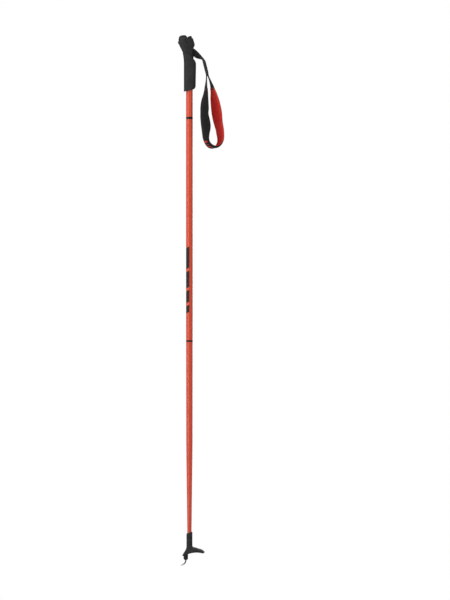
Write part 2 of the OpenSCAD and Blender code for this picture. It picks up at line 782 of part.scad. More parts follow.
// Everything under the dome's top, lowered by a depth: an arc to the back, a brow and a steep front flank
module under_dome(depth) {
    axis_z = dome_height - crown_r;
    floor_z = z_dome_low - z_tip - 2;
    back = dome_r - depth;
    front = brow_r - depth;
    flank = [apex_x - front * sin(flank_slope), dome_height - brow_r + front * cos(flank_slope)];
    outline = concat(
        [[apex_x + back * sin(dome_angle), floor_z]],
        [for (k = [0 : 20]) let (a = dome_angle * (1 - k / 20), x = apex_x + back * sin(a))
            [x, dome_height - dome_r + back * cos(a) + hump_rise * hump(x)]],
        [for (k = [1 : 6]) let (a = flank_slope * k / 6)
            [apex_x - front * sin(a), dome_height - brow_r + front * cos(a)]],
        [[flank[0] - (flank[1] - floor_z) / tan(flank_slope), floor_z]]);
    translate([0, 0, z_tip + axis_z]) rotate([0, 90, 0]) rotate([0, 0, 180 - crown_angle])
        rotate_extrude(angle = 2 * crown_angle) polygon([for (p = outline) [p[1] - axis_z, p[0]]]);
}

// Everything under the arch of the rim
module under_rim() {
    translate([rim_x, basket_w, z_tip + rim_height - rim_r]) rotate([90, 0, 0])
        cylinder(r = rim_r, h = 2 * basket_w);
}

// Moulded basket: half-moon dome with a skirt and ribs, glued sleeve, and the boss that holds the tip
module basket() {
    z_rib = z_tip + rim_height + rib_drop;
    z_foot = z_tip + dome_height - plate_t;
    color("#242426") difference() {
        union() {
            difference() {
                intersection() {
                    translate([0, 0, z_dome_low]) linear_extrude(height = beyond) basket_plan(0);
                    under_dome(0);
                }
                under_rim();
                intersection() {
                    translate([0, 0, z_dome_low - 1]) linear_extrude(height = beyond) basket_plan(skirt_t);
                    under_dome(plate_t);
                }
            }
            translate([0, 0, z_foot]) cylinder(
                r1 = hub_r + foot_flare, r2 = socket_r + sleeve_wall, h = z_socket_top + end_show - z_foot);
            intersection() {
                union() {
                    translate([0, 0, z_tip + rim_height + hub_drop]) cylinder(r = hub_r, h = beyond);
                    translate([-boss_reach, 0, z_nose + nose_length]) cylinder(d = boss_d, h = beyond);
                    translate([0, -rib_t / 2, z_rib]) cube([basket_back - skirt_t / 2, rib_t, beyond]);
                    for (side = [-1, 1]) rotate([0, 0, side * rib_turn]) translate([0, -rib_t / 2, z_rib])
                        cube([basket_w / 2 - rib_inset, rib_t, beyond]);
                }
                under_dome(plate_t / 2);
            }
            translate([-boss_reach, 0, z_nose])
                cylinder(r1 = spike_r + nose_wall, r2 = boss_d / 2, h = nose_length);
        }
        translate([0, 0, socket_floor]) cylinder(r = socket_r, h = beyond);
        translate([0, 0, z_socket_top]) rotate([0, -sleeve_slant, 0])
            translate([-beyond / 2, -beyond / 2, 0]) cube(beyond);
        translate([-boss_reach, 0, z_nose - 1]) cylinder(r = spike_r, h = spike_hold + 1);
    }
}

// Hot-melt glue line between the shaft's end and the basket's sleeve
module basket_adhesive() {
    length = socket_length - socket_r;
    color("#c9b98a") translate([0, 0, z_shaft_end]) difference() {
        cylinder(r = socket_r - glue_skin, h = length);
        translate([0, 0, -1]) cylinder(r = end_d / 2 + glue_skin, h = beyond);
    }
}

// Hardened spike: a pin held in the boss, drawn a little thinner as it bends forwards, and ground to a point
module tip_spike() {
    shank_r = spike_r - glue_skin;
    bend_r = shank_r - draw_step;
    end_r = bend_r - draw_step;
    tuck = 0.5;
    tuck_angle = tuck / spike_bend_r * 180 / PI;
    color("#b9bcc0") translate([-boss_reach, 0, z_bend]) {
        cylinder(r = shank_r, h = z_nose + spike_hold - z_bend - seat_gap);
        translate([-spike_bend_r, 0, 0]) rotate([90, 0, 0]) rotate([0, 0, -spike_bend])
            rotate_extrude(angle = spike_bend + tuck_angle) translate([spike_bend_r, 0]) circle(r = bend_r);
        translate([-spike_bend_r * (1 - cos(spike_bend)), 0, -spike_bend_r * sin(spike_bend)])
            rotate([0, 180 + spike_bend, 0]) {
                translate([0, 0, -tuck]) cylinder(r = end_r, h = spike_straight + tuck);
                translate([0, 0, spike_straight]) cylinder(r1 = end_r, r2 = point_d / 2, h = point_length);
            }
    }
}

shaft_tube();
grip_adhesive();
grip_head();
handle_sleeve();
strap_wedge();
webbing_in_grip();
webbing_neck();
webbing_near_leg();
webbing_far_leg();
pad_outer_fabric();
pad_foam();
pad_lining();
neck_bar_tack();
near_bar_tack();
far_bar_tack();
basket();
basket_adhesive();
tip_spike();
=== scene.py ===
"""Looks of a cross-country ski pole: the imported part, dressed in Blender.

Lengths are in millimetres until a mesh is made, in the part's own frame: the origin is on the shaft's axis
where the hand holds it, X points to the strap's side, Z points up the shaft.
"""
import json
import logging
import math
from dataclasses import dataclass
from enum import Enum
from typing import Callable

import bpy
import numpy as np
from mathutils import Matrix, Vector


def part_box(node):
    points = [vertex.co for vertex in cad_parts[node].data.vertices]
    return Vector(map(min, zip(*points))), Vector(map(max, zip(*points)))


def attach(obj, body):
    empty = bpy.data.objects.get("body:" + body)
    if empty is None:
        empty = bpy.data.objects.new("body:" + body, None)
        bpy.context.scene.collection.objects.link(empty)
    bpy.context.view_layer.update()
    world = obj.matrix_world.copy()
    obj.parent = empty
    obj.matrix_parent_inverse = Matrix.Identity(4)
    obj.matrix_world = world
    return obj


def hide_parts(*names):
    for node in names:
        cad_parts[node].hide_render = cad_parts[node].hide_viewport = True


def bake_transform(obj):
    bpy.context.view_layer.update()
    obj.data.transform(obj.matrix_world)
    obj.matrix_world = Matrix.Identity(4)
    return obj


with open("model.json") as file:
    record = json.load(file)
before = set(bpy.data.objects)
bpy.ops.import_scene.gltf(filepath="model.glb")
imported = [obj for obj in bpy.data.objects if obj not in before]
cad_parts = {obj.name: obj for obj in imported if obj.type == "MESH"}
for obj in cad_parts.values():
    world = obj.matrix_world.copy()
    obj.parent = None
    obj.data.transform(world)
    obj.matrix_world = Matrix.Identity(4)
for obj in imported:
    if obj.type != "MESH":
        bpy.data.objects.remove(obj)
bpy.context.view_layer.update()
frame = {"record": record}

Array = np.ndarray
Field = Callable[[Array, Array, Array], Array]
Mesh = tuple[Array, list]

MM = 0.001
UP = np.array([0.0, 0.0, 1.0])
# Least divisors, for the middle of a section, a field with no slope and a point that stays where it is
LEAST_MEASURE, LEAST_SLOPE, LEAST_MOVE = 0.05, 0.1, 1e-9
# Most values of a noise lie between these two
NOISE_LOW, NOISE_HIGH = 0.3, 0.7
THREAD_SIDES = 6
log = logging.getLogger("ski_pole")


class Body(Enum):
    """Bodies of the part that a piece can ride on."""

    POLE = "pole"
    WEDGE = "wedge"
    NECK = "strap_neck"
    LOOP = "hand_loop"


class Side(Enum):
    """The two legs of the strap, as a sign along the loop's spread."""

    NEAR = -1
    FAR = 1


# Frame


def node_box(node: str) -> tuple[Array, Array]:
    """Give the lowest and highest corner of a CAD node in millimetres.

    Args:
        node: name of the CAD node.

    Returns:
        The two corners.
    """
    low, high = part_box(node)
    return np.array(low) / MM, np.array(high) / MM


def hinge_place(joint: str) -> Array:
    """Give the place of a joint's axis in millimetres.

    Args:
        joint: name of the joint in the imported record.

    Returns:
        The point that the record gives.
    """
    rows = frame["record"]["behaviour"]["joints"]
    return next(np.array(row["pos_m"]) / MM for row in rows if row["name"] == joint)


# Curves and fields, as whole arrays


def unit(vectors: Array) -> Array:
    """Scale each vector on the last axis to length one."""
    return vectors / np.linalg.norm(vectors, axis=-1, keepdims=True)


def ease(value: Array) -> Array:
    """Go from 0 to 1 with level ends: three squares less two cubes of the clipped value."""
    share = np.clip(value, 0, 1)
    return share * share * (3 - 2 * share)


def smooth_max(first: Array, second: Array, blend: Array | float) -> Array:
    """Meet two fields as an intersection with a rounded edge.

    Args:
        first: field of one solid, below zero inside.
        second: field of the other solid.
        blend: width of the rounded band in millimetres.

    Returns:
        The larger value, plus a quarter of the blend times the square of the overlap share.
    """
    share = np.maximum(blend - np.abs(first - second), 0) / blend
    return np.maximum(first, second) + share * share * blend / 4


def smooth_min(first: Array, second: Array, blend: Array | float) -> Array:
    """Meet two fields as a union with a fillet: the mirror image of smooth_max."""
    return -smooth_max(-first, -second, blend)


def through(stations: Array, levels: Array) -> Array:
    """Read a smooth curve through stations whose first column is the height.

    Each span is a cubic whose end slopes are those of the line between the neighbours on either side.

    Args:
        stations: rows of a height and the values there.
        levels: heights to read at, any shape.

    Returns:
        Values with one row per station column after the first, each shaped like levels.
    """
    height, values = stations[:, 0], stations[:, 1:]
    last = len(height) - 1
    before = np.maximum(np.arange(last + 1) - 1, 0)
    after = np.minimum(np.arange(last + 1) + 1, last)
    slope = (values[after] - values[before]) / (height[after] - height[before])[:, None]
    row = np.clip(np.searchsorted(height, levels) - 1, 0, last - 1)
    gap = height[row + 1] - height[row]
    t = np.clip((levels - height[row]) / gap, 0, 1)
    near, far = (1 + 2 * t) * (1 - t) ** 2, t * t * (3 - 2 * t)
    lead, trail = t * (1 - t) ** 2 * gap, t * t * (t - 1) * gap
    columns = range(values.shape[1])
    return np.stack([
        near * values[row, c] + far * values[row + 1, c] + lead * slope[row, c] + trail * slope[row + 1, c]
        for c in columns
    ])


def squircle(x: Array, y: Array, front: Array, back: Array, half: Array, power: float) -> Array:
    """Give the distance along a ray from a superellipse's centre, below zero inside.

    Args:
        x: place along the depth.
        y: place across.
        front: lowest x of the section.
        back: highest x of the section.
        half: half width of the section.
        power: 2 for an ellipse, more for a squarer section.

    Returns:
        The ray's length times one less than the inverse of the section's own measure.
    """
    depth = (back - front) / 2
    from_middle = x - (back + front) / 2
    measure = (np.abs(from_middle / depth) ** power + np.abs(y / half) ** power) ** (1 / power)
    return np.hypot(from_middle, y) * (1 - 1 / np.maximum(measure, LEAST_MEASURE))


def belt(x: Array, y: Array, first: tuple[float, float], second: tuple[float, float]) -> Array:
    """Give the distance from the outline round two circles on the X axis, as a belt round two pulleys.

    Args:
        x: place along the line of the centres.
        y: place across it.
        first: centre and radius of the larger circle.
        second: centre and radius of the smaller circle, at a higher x.

    Returns:
        Distance to the outline, below zero inside.
    """
    (start, large), (end, small) = first, second
    lean = (large - small) / (end - start)
    rise = math.sqrt(1 - lean * lean)
    across, along = np.abs(y), x - start
    share = along * rise - across * lean
    flat = across * rise + along * lean - large
    to_start = np.hypot(across, along) - large
    to_end = np.hypot(across, along - (end - start)) - small
    return np.where(share < 0, to_start, np.where(share > rise * (end - start), to_end, flat))


def over_ramp(x: Array, z: Array, point: tuple[float, float], fall: float) -> Array:
    """Give the distance from a straight ramp across the pole, below zero under it.

    Args:
        x: place from front to back.
        z: height.
        point: x and z of a point on the ramp.
        fall: how far the ramp falls in each millimetre backwards.

    Returns:
        The height over the ramp, divided by the root of one and the fall's square.
    """
    return (z - point[1] + fall * (x - point[0])) / math.hypot(1, fall)


# Meshes


def netted(field: Field, low: Array, high: Array, cell: float) -> Mesh:
    """Mesh a moulded solid where its field is zero, with one point in each cell that the surface crosses.

    The grid has two cells to spare all round. A point starts at the mean of the crossings on its cell's
    edges. It then takes steps of the field's value down the field's slope, which put it on the surface, with
    one evening step between neighbours.

    Args:
        field: function of x, y and z in millimetres, below zero inside.
        low: lowest corner of the solid.
        high: highest corner of the solid.
        cell: width of a cell in millimetres.

    Returns:
        Points and four-sided faces that point outwards.
    """
    axes = [np.arange(a - 2 * cell, b + 3 * cell, cell) for a, b in zip(low, high)]
    shape = tuple(len(axis) for axis in axes)
    value = np.broadcast_to(field(*np.meshgrid(*axes, indexing="ij", sparse=True)), shape)
    inside = value < 0
    cells = tuple(n - 1 for n in shape)
    corners = [(i, j, k) for i in (0, 1) for j in (0, 1) for k in (0, 1)]

    def corner(grid: Array, offset: tuple[int, int, int]) -> Array:
        """View a grid's values at one corner of each cell."""
        return grid[tuple(slice(o, o + n) for o, n in zip(offset, cells))]

    count = sum(corner(inside, offset).astype(np.int8) for offset in corners)
    active = (count > 0) & (count < len(corners))
    place = np.argwhere(active)
    total, crossings = np.zeros((len(place), 3)), np.zeros(len(place))
    for axis in range(3):
        for offset in (o for o in corners if o[axis] == 0):
            other = tuple(1 if i == axis else o for i, o in enumerate(offset))
            a, b = corner(value, offset)[active], corner(value, other)[active]
            cut = (a < 0) != (b < 0)
            share = np.where(cut, a / np.where(cut, a - b, 1), 0)
            point = np.tile(np.array(offset, float), (len(place), 1))
            point[:, axis] += share
            total += point * cut[:, None]
            crossings += cut
    origin = np.array([axis[0] for axis in axes])
    points = origin + cell * (place + total / crossings[:, None])

    index = np.full(cells, -1)
    index[active] = np.arange(len(place))
    faces = []
    for axis in range(3):
        u, v = np.eye(3, dtype=int)[[(axis + 1) % 3, (axis + 2) % 3]]
        step = np.eye(3, dtype=int)[axis]
        first = inside[tuple(slice(0, n - s) for n, s in zip(shape, step))]
        second = inside[tuple(slice(s, n) for n, s in zip(shape, step))]
        at = np.argwhere(first != second)
        outward = first[tuple(at.T)]
        ring = np.stack([index[tuple((at - d).T)] for d in (0 * u, u, u + v, v)], axis=1)
        faces.append(np.where(outward[:, None], ring[:, ::-1], ring)[:, ::-1])
    quads = np.concatenate(faces)

    for evening in (True, False, False):
        points = drawn_in(field, points, cell)
        if evening:
            points = evened(points, quads)
    return points, quads.tolist()


def drawn_in(field: Field, points: Array, cell: float) -> Array:
    """Move points onto a field's surface by one step down its slope, which is read over a tenth of a cell.

    Args:
        field: the field.
        points: points near its surface.
        cell: width of a cell; a step is half of it at most.

    Returns:
        The moved points.
    """
    reach = cell / 20
    value = field(*points.T)
    slope = np.stack([
        field(*(points + reach * axis).T) - field(*(points - reach * axis).T) for axis in np.eye(3)
    ], axis=1) / (2 * reach)
    step = value / np.maximum((slope * slope).sum(axis=1), LEAST_SLOPE)
    move = slope * step[:, None]
    length = np.linalg.norm(move, axis=1, keepdims=True)
    return points - move * np.minimum(1, cell / 2 / np.maximum(length, LEAST_MOVE))


def evened(points: Array, quads: Array) -> Array:
    """Move each point half way to the mean of the middles of the faces round it.

    Args:
        points: the mesh's points.
        quads: its faces, four corners to each.

    Returns:
        The moved points.
    """
    total, count = np.zeros_like(points), np.zeros(len(points))
    middle = points[quads].mean(axis=1)
    for side in range(4):
        np.add.at(total, quads[:, side], middle)
        np.add.at(count, quads[:, side], 1)
    return (points + total / np.maximum(count, 1)[:, None]) / 2


def grid_faces(rows: int, columns: int, ring: bool) -> Array:
    """List the faces between neighbours of a grid of points, row by row.

    Args:
        rows: number of rows.
        columns: number of points in a row.
        ring: whether a row closes on itself.

    Returns:
        Corner numbers, four to a face.
    """
    number = np.arange(rows * columns).reshape(rows, columns)
    if ring:
        number = np.concatenate([number, number[:, :1]], axis=1)
    corners = [number[:-1, :-1], number[:-1, 1:], number[1:, 1:], number[1:, :-1]]
    return np.stack([c.ravel() for c in corners], axis=1)


def tube(rings: Array) -> Mesh:
    """Close a row of rings into one solid: a profile carried along a path, with a lid at each end.

    Args:
        rings: points shaped rows, points in a ring, 3; rings turn left as seen from the path's far end.

    Returns:
        Points and faces.
    """
    rows, columns = rings.shape[:2]
    faces = grid_faces(rows, columns, True).tolist()
    first = list(range(columns))[::-1]
    last = [(rows - 1) * columns + k for k in range(columns)]
    return rings.reshape(-1, 3), [*faces, first, last]


def slab(upper: Array, lower: Array) -> Mesh:
    """Close two grids of the same shape into one thin solid by walls round their edges.

    Args:
        upper: points shaped rows, columns, 3 on the outer face.
        lower: the points under them.

    Returns:
        Points and faces.
    """
    rows, columns = upper.shape[:2]
    rings = np.concatenate([upper, lower[:, ::-1]], axis=1)
    faces = grid_faces(rows, 2 * columns, True).tolist()
    for row, turn in ((0, 1), (rows - 1, -1)):
        start = row * 2 * columns
        k = np.arange(columns - 1)
        lid = np.stack([start + k, start + 2 * columns - 1 - k, start + 2 * columns - 2 - k, start + k + 1],
                       axis=1)
        faces += lid[:, ::turn].tolist()
    return rings.reshape(-1, 3), faces


def joined(parts: list[Mesh]) -> Mesh:
    """Put several meshes into one.

    Args:
        parts: the meshes.

    Returns:
        All their points and faces.
    """
    points, faces, start = [], [], 0
    for some, ring in parts:
        points.append(some)
        faces += [[corner + start for corner in face] for face in ring]
        start += len(some)
    return np.concatenate(points), faces


def piece(name: str, mesh: Mesh, finish: "Finish", body: Body | None = None,
          replaces: tuple[str, ...] = (), cloth: Array | None = None, sharp: float = 40) -> bpy.types.Object:
    """Make one piece of the pole from a mesh in millimetres.

    Args:
        name: plain name of the piece.
        mesh: its points and faces.
        finish: its surface.
        body: the body it rides on, or none for a piece that spans a joint, which then rides on no body.
        replaces: CAD nodes that it stands for.
        cloth: place of each point on the piece's own flat cloth, in millimetres.
        sharp: angle in degrees past which an edge stays crisp.

    Returns:
        The new object, at the origin.
    """
    points, faces = mesh
    data = bpy.data.meshes.new(name)
    data.from_pydata((points * MM).tolist(), [], faces)
    data.shade_smooth()
    data.set_sharp_from_angle(angle=math.radians(sharp))
    if cloth is not None:
        corners = np.empty(len(data.loops), np.int32)
        data.loops.foreach_get("vertex_index", corners)
        data.uv_layers.new(name="cloth").data.foreach_set("uv", (cloth[corners] * MM).ravel())
    made = bpy.data.objects.new(name, data)
    bpy.context.scene.collection.objects.link(made)
    data.materials.append(finish.material())
    if body:
        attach(made, body.value)
    if replaces:
        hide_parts(*replaces)
    log.info("%s: %d points, finish %s", name, len(points), finish.name)
    return made


# Finishes


def linear(colour: str) -> tuple[float, float, float, float]:
    """Turn an sRGB hex colour into linear light.

    Args:
        colour: a hash and six hex digits.

    Returns:
        Red, green and blue by the sRGB curve, and full cover.
    """
    srgb = np.array([int(colour[i:i + 2], 16) for i in (1, 3, 5)]) / 255
    light = np.where(srgb <= 0.04045, srgb / 12.92, ((srgb + 0.055) / 1.055) ** 2.4)
    return (*light.tolist(), 1.0)


def per_metre(pitch: float) -> float:
    """Give a noise's scale for a grain of so many millimetres on coordinates in metres."""
    return 1 / (pitch * MM)


def bands_per_metre(pitch: float) -> float:
    """Give a wave's scale for bands so many millimetres apart; at scale 1 they lie a tenth of pi apart."""
    return math.pi / 10 / (pitch * MM)


def add_node(tree: bpy.types.NodeTree, kind: str, values: dict | None = None, links: dict | None = None,
             **settings: object) -> bpy.types.Node:
    """Add a node with its settings and links.

    Args:
        tree: the material's node tree.
        kind: type of the node.
        values: constants by input.
        links: output sockets by input.
        settings: attributes of the node.

    Returns:
        The node.
    """
    node = tree.nodes.new(kind)
    for key, value in settings.items():
        setattr(node, key, value)
    for key, value in (values or {}).items():
        node.inputs[key].default_value = value
    for key, socket in (links or {}).items():
        tree.links.new(socket, node.inputs[key])
    return node


@dataclass(frozen=True)
class Finish:
    """A finish: what every surface has, and the pattern that each kind draws on it."""

    name: str
    colour: str
    shade: str
    roughness: float

    def constants(self) -> dict:
        """List what is the same all over the surface, by socket of the shader."""
        return {"Roughness": self.roughness, "Base Color": linear(self.colour)}

    def draw(self, tree: bpy.types.NodeTree, shader: bpy.types.Node) -> None:
        """Draw the pattern and link it to the shader; each kind of finish has its own."""
        raise NotImplementedError

    def material(self) -> bpy.types.Material:
        """Make the finish's material on its first use.

        Returns:
            The material.
        """
        made = bpy.data.materials.get(self.name)
        if made is None:
            made = bpy.data.materials.new(self.name)
            made.use_nodes = True
            made.diffuse_color = linear(self.colour)
            tree = made.node_tree
            tree.nodes.clear()
            shader = add_node(tree, "ShaderNodeBsdfPrincipled", self.constants())
            add_node(tree, "ShaderNodeOutputMaterial", links={"Surface": shader.outputs["BSDF"]})
            self.draw(tree, shader)
        return made

    def tint(self, tree: bpy.types.NodeTree, shader: bpy.types.Node, share: bpy.types.NodeSocket,
             low: float = NOISE_LOW, high: float = NOISE_HIGH) -> None:
        """Run the base colour from the shade to the colour.

        Args:
            tree: the material's node tree.
            shader: its shader.
            share: the pattern.
            low: value of the pattern that gives the shade.
            high: value that gives the colour.
        """
        ramp = add_node(tree, "ShaderNodeValToRGB", links={"Fac": share})
        for stop, place, colour in zip(ramp.color_ramp.elements, (low, high), (self.shade, self.colour)):
            stop.position, stop.color = place, linear(colour)
        tree.links.new(ramp.outputs["Color"], shader.inputs["Base Color"])

    def gloss(self, tree: bpy.types.NodeTree, shader: bpy.types.Node, share: bpy.types.NodeSocket,
              less: float, more: float) -> None:
        """Let the roughness vary with a noise.

        Args:
            tree: the material's node tree.
            shader: its shader.
            share: the noise.
            less: how much smoother its low places are.
            more: how much rougher its high places are.
        """
        rough = add_node(tree, "ShaderNodeMapRange", {
            "From Min": NOISE_LOW, "From Max": NOISE_HIGH,
            "To Min": self.roughness - less, "To Max": self.roughness + more,
        }, {"Value": share})
        tree.links.new(rough.outputs["Result"], shader.inputs["Roughness"])

    def relief(self, tree: bpy.types.NodeTree, shader: bpy.types.Node, height: bpy.types.NodeSocket,
               depth: float, strength: float) -> None:
        """Turn a pattern into bumps.

        Args:
            tree: the material's node tree.
            shader: its shader.
            height: the pattern.
            depth: height of the bumps in millimetres.
            strength: share of them that shows.
        """
        bump = add_node(tree, "ShaderNodeBump", {"Strength": strength, "Distance": depth * MM},
                        {"Height": height})
        tree.links.new(bump.outputs["Normal"], shader.inputs["Normal"])


@dataclass(frozen=True)
class Moulded(Finish):
    """Injection-moulded plastic or rubber: a spark-eroded grain from the mould and faint cloudy colour."""

    # The grain is several times coarser than a real mould's, so that it shows
    grain: float = 0.5
    grain_depth: float = 0.03
    cloud: float = 22
    sheen: float = 0
    gleam: float = 0.35

    def constants(self) -> dict:
        """Add the soft sheen of rubber and the gleam of the mould's skin."""
        return {**super().constants(), "IOR": 1.5, "Sheen Weight": self.sheen, "Sheen Roughness": 0.4,
                "Specular IOR Level": self.gleam}

    def draw(self, tree: bpy.types.NodeTree, shader: bpy.types.Node) -> None:
        """Draw cloudy colour, uneven gloss and the mould's grain.

        Args:
            tree: the material's node tree.
            shader: its shader.
        """
        place = add_node(tree, "ShaderNodeTexCoord").outputs["Object"]
        clouds = add_node(tree, "ShaderNodeTexNoise", {"Scale": per_metre(self.cloud), "Detail": 3},
                          {"Vector": place}).outputs["Fac"]
        self.tint(tree, shader, clouds)
        self.gloss(tree, shader, clouds, less=0.05, more=0.06)
        grain = add_node(tree, "ShaderNodeTexNoise", {"Scale": per_metre(self.grain), "Detail": 2},
                         {"Vector": place}).outputs["Fac"]
        self.relief(tree, shader, grain, self.grain_depth, strength=0.6)


@dataclass(frozen=True)
class Sweep(Moulded):
    """Studio paper with painted light: an emission that rises with distance stands in for lamps of its own behind
    the object, as on a lit sweep.
    """

    near: float = 900
    far: float = 4200
    painted_glow: float = 0.42

    def draw(self, tree: bpy.types.NodeTree, shader: bpy.types.Node) -> None:
        """Draw the paper, and paint light on it: an emission that rises from none near the middle.

        Args:
            tree: the material's node tree.
            shader: its shader.
        """
        super().draw(tree, shader)
        shader.inputs["Emission Color"].default_value = linear(self.colour)
        place = add_node(tree, "ShaderNodeTexCoord").outputs["Object"]
        flat = add_node(tree, "ShaderNodeVectorMath", {1: (1, 1, 0)}, {0: place}, operation="MULTIPLY")
        away = add_node(tree, "ShaderNodeVectorMath", links={0: flat.outputs["Vector"]}, operation="LENGTH")
        # Painted light: the paper's emission grows from none near the pole to its full strength far away
        painted_glow = add_node(tree, "ShaderNodeMapRange", {
            "From Min": self.near * MM, "From Max": self.far * MM, "To Min": 0.0, "To Max": self.painted_glow,
        }, {"Value": away.outputs["Value"]})
        tree.links.new(painted_glow.outputs["Result"], shader.inputs["Emission Strength"])


@dataclass(frozen=True)
class Lacquer(Finish):
    """Sprayed and baked lacquer under a clear coat: even colour, faint orange peel, a crisp highlight."""

    peel: float = 2.5
    peel_depth: float = 0.012
    # Real pigment is too fine to show, so its specks are drawn coarse
    flake: float = 0.35
    coat: float = 0.6

    def constants(self) -> dict:
        """Add the clear coat."""
        return {**super().constants(), "IOR": 1.5, "Coat Weight": self.coat, "Coat Roughness": 0.22}

    def draw(self, tree: bpy.types.NodeTree, shader: bpy.types.Node) -> None:
        """Draw fine pigment specks in the colour and the coat's orange peel.

        Args:
            tree: the material's node tree.
            shader: its shader.
        """
        place = add_node(tree, "ShaderNodeTexCoord").outputs["Object"]
        specks = add_node(tree, "ShaderNodeTexNoise", {"Scale": per_metre(self.flake), "Detail": 2},
                          {"Vector": place}).outputs["Fac"]
        self.tint(tree, shader, specks, low=0.2, high=0.6)
        peel = add_node(tree, "ShaderNodeTexNoise", {"Scale": per_metre(self.peel), "Detail": 1},
                        {"Vector": place}).outputs["Fac"]
        self.relief(tree, shader, peel, self.peel_depth, strength=0.5)


@dataclass(frozen=True)
class Woven(Finish):
    """Woven or knitted cloth: crossing threads on the piece's own flat cloth with painted shade between them, a nap
    and a soft sheen.
    """

    warp: float = 1.4
    weft: float = 1.1
    depth: float = 0.2
    nap: float = 7
    sheen: float = 0.2

    def constants(self) -> dict:
        """Add the sheen of fibres that stand off the cloth."""
        return {**super().constants(), "IOR": 1.45, "Specular IOR Level": 0.2, "Sheen Weight": self.sheen,
                "Sheen Roughness": 0.5}

    def draw(self, tree: bpy.types.NodeTree, shader: bpy.types.Node) -> None:
        """Draw the threads as two sets of bands, paint shade into the colour between them, and let the nap mottle
        it.

        Args:
            tree: the material's node tree.
            shader: its shader.
        """
        cloth = add_node(tree, "ShaderNodeTexCoord").outputs["UV"]
        threads = [
            add_node(tree, "ShaderNodeTexWave", {"Scale": bands_per_metre(pitch), "Distortion": 0.6},
                     {"Vector": cloth}, bands_direction=axis).outputs["Fac"]
            for pitch, axis in ((self.warp, "X"), (self.weft, "Y"))
        ]
        weave = add_node(tree, "ShaderNodeMath", {}, {0: threads[0], 1: threads[1]}, operation="MAXIMUM")
        nap = add_node(tree, "ShaderNodeTexNoise", {"Scale": per_metre(self.nap), "Detail": 4},
                       {"Vector": cloth}).outputs["Fac"]
        share = add_node(tree, "ShaderNodeMath", {}, {0: weave.outputs[0], 1: nap}, operation="MULTIPLY")
        # The colour runs to the shade between the threads: painted shade, mottled by the nap's random tone
        self.tint(tree, shader, share.outputs[0], low=0.05, high=0.55)
        self.relief(tree, shader, weave.outputs[0], self.depth, strength=0.7)


@dataclass(frozen=True)
class Cellular(Finish):
    """Closed-cell foam: small round pores cut open along a matt face, with painted shade in their hollows."""

    pore: float = 0.6

    def draw(self, tree: bpy.types.NodeTree, shader: bpy.types.Node) -> None:
        """Draw the pores as cells, deeper towards their middles, with painted shade that darkens them there.

        Args:
            tree: the material's node tree.
            shader: its shader.
        """
        place = add_node(tree, "ShaderNodeTexCoord").outputs["Object"]
        pores = add_node(tree, "ShaderNodeTexVoronoi", {"Scale": per_metre(self.pore)},
                         {"Vector": place}).outputs["Distance"]
        # Painted shade: the colour runs to the dark shade in the middle of each pore
        self.tint(tree, shader, pores, low=0.1, high=0.6)
        self.relief(tree, shader, pores, self.pore / 4, strength=0.6)


@dataclass(frozen=True)
class Spun(Finish):
    """Sewing thread: plies twisted together, drawn as small turns of painted light and shade, and a dull sheen."""

    twist: float = 0.5

    def constants(self) -> dict:
        """Add the sheen of the filaments."""
        return {**super().constants(), "Sheen Weight": 0.3, "Sheen Roughness": 0.4}

    def draw(self, tree: bpy.types.NodeTree, shader: bpy.types.Node) -> None:
        """Draw the twist as slanting bands across the thread, painted light on the plies and painted shade between
        them.

        Args:
            tree: the material's node tree.
            shader: its shader.
        """
        place = add_node(tree, "ShaderNodeTexCoord").outputs["Object"]
        turns = add_node(tree, "ShaderNodeTexWave", {"Scale": bands_per_metre(self.twist), "Distortion": 0.4},
                         {"Vector": place}, bands_direction="DIAGONAL").outputs["Fac"]
        # Painted light and shade: the colour runs from dark between the plies to light on them
        self.tint(tree, shader, turns, low=0.1, high=0.8)
        self.relief(tree, shader, turns, self.twist / 6, strength=0.5)


@dataclass(frozen=True)
class Ground(Finish):
    """Ground and hardened steel: bright metal with fine grinding marks and a little tempering colour."""

    # The marks are coarser than a fine wheel's, so that they show
    mark: float = 0.25
    mark_share: float = 0.25
    drawn_out: float = 0.15
    bare_low: float = 0
    bare_high: float = 1

    def constants(self) -> dict:
        """Make it metal."""
        return {**super().constants(), "Metallic": 1.0}

    def draw(self, tree: bpy.types.NodeTree, shader: bpy.types.Node) -> None:
        """Draw the grinding marks as noise drawn out along the pin, and bare its oxide towards the point.

        Args:
            tree: the material's node tree.
            shader: its shader.
        """
        place = add_node(tree, "ShaderNodeTexCoord").outputs["Object"]
        drawn = add_node(tree, "ShaderNodeMapping", {"Scale": (1, 1, self.drawn_out)}, {"Vector": place})
        marks = add_node(tree, "ShaderNodeTexNoise", {"Scale": per_metre(self.mark), "Detail": 3},
                         {"Vector": drawn.outputs["Vector"]}).outputs["Fac"]
        level = add_node(tree, "ShaderNodeSeparateXYZ", links={"Vector": place}).outputs["Z"]
        bare = add_node(tree, "ShaderNodeMapRange", {
            "From Min": self.bare_high * MM, "From Max": self.bare_low * MM, "To Min": 0.0,
            "To Max": 1 - self.mark_share,
        }, {"Value": level})
        share = add_node(tree, "ShaderNodeMath", {1: self.mark_share}, {0: marks, 2: bare.outputs["Result"]},
                         operation="MULTIPLY_ADD")
        self.tint(tree, shader, share.outputs[0], low=0.1, high=0.9)
        self.gloss(tree, shader, marks, less=0.06, more=0.1)
        self.relief(tree, shader, marks, self.mark / 20, strength=0.4)


# Baked polyurethane lacquer on a composite tube: an even orange red with a crisp, narrow highlight
ORANGE_LACQUER = Lacquer("orange_polyurethane_lacquer", "#d5421f", "#cb3d1d", 0.34)
# Screen-printed black ink: a thin satin film that lies on the lacquer
BLACK_INK = Moulded("black_screen_ink", "#0f0e0f", "#0b0a0b", 0.34, grain=0.6, grain_depth=0.006, cloud=6)
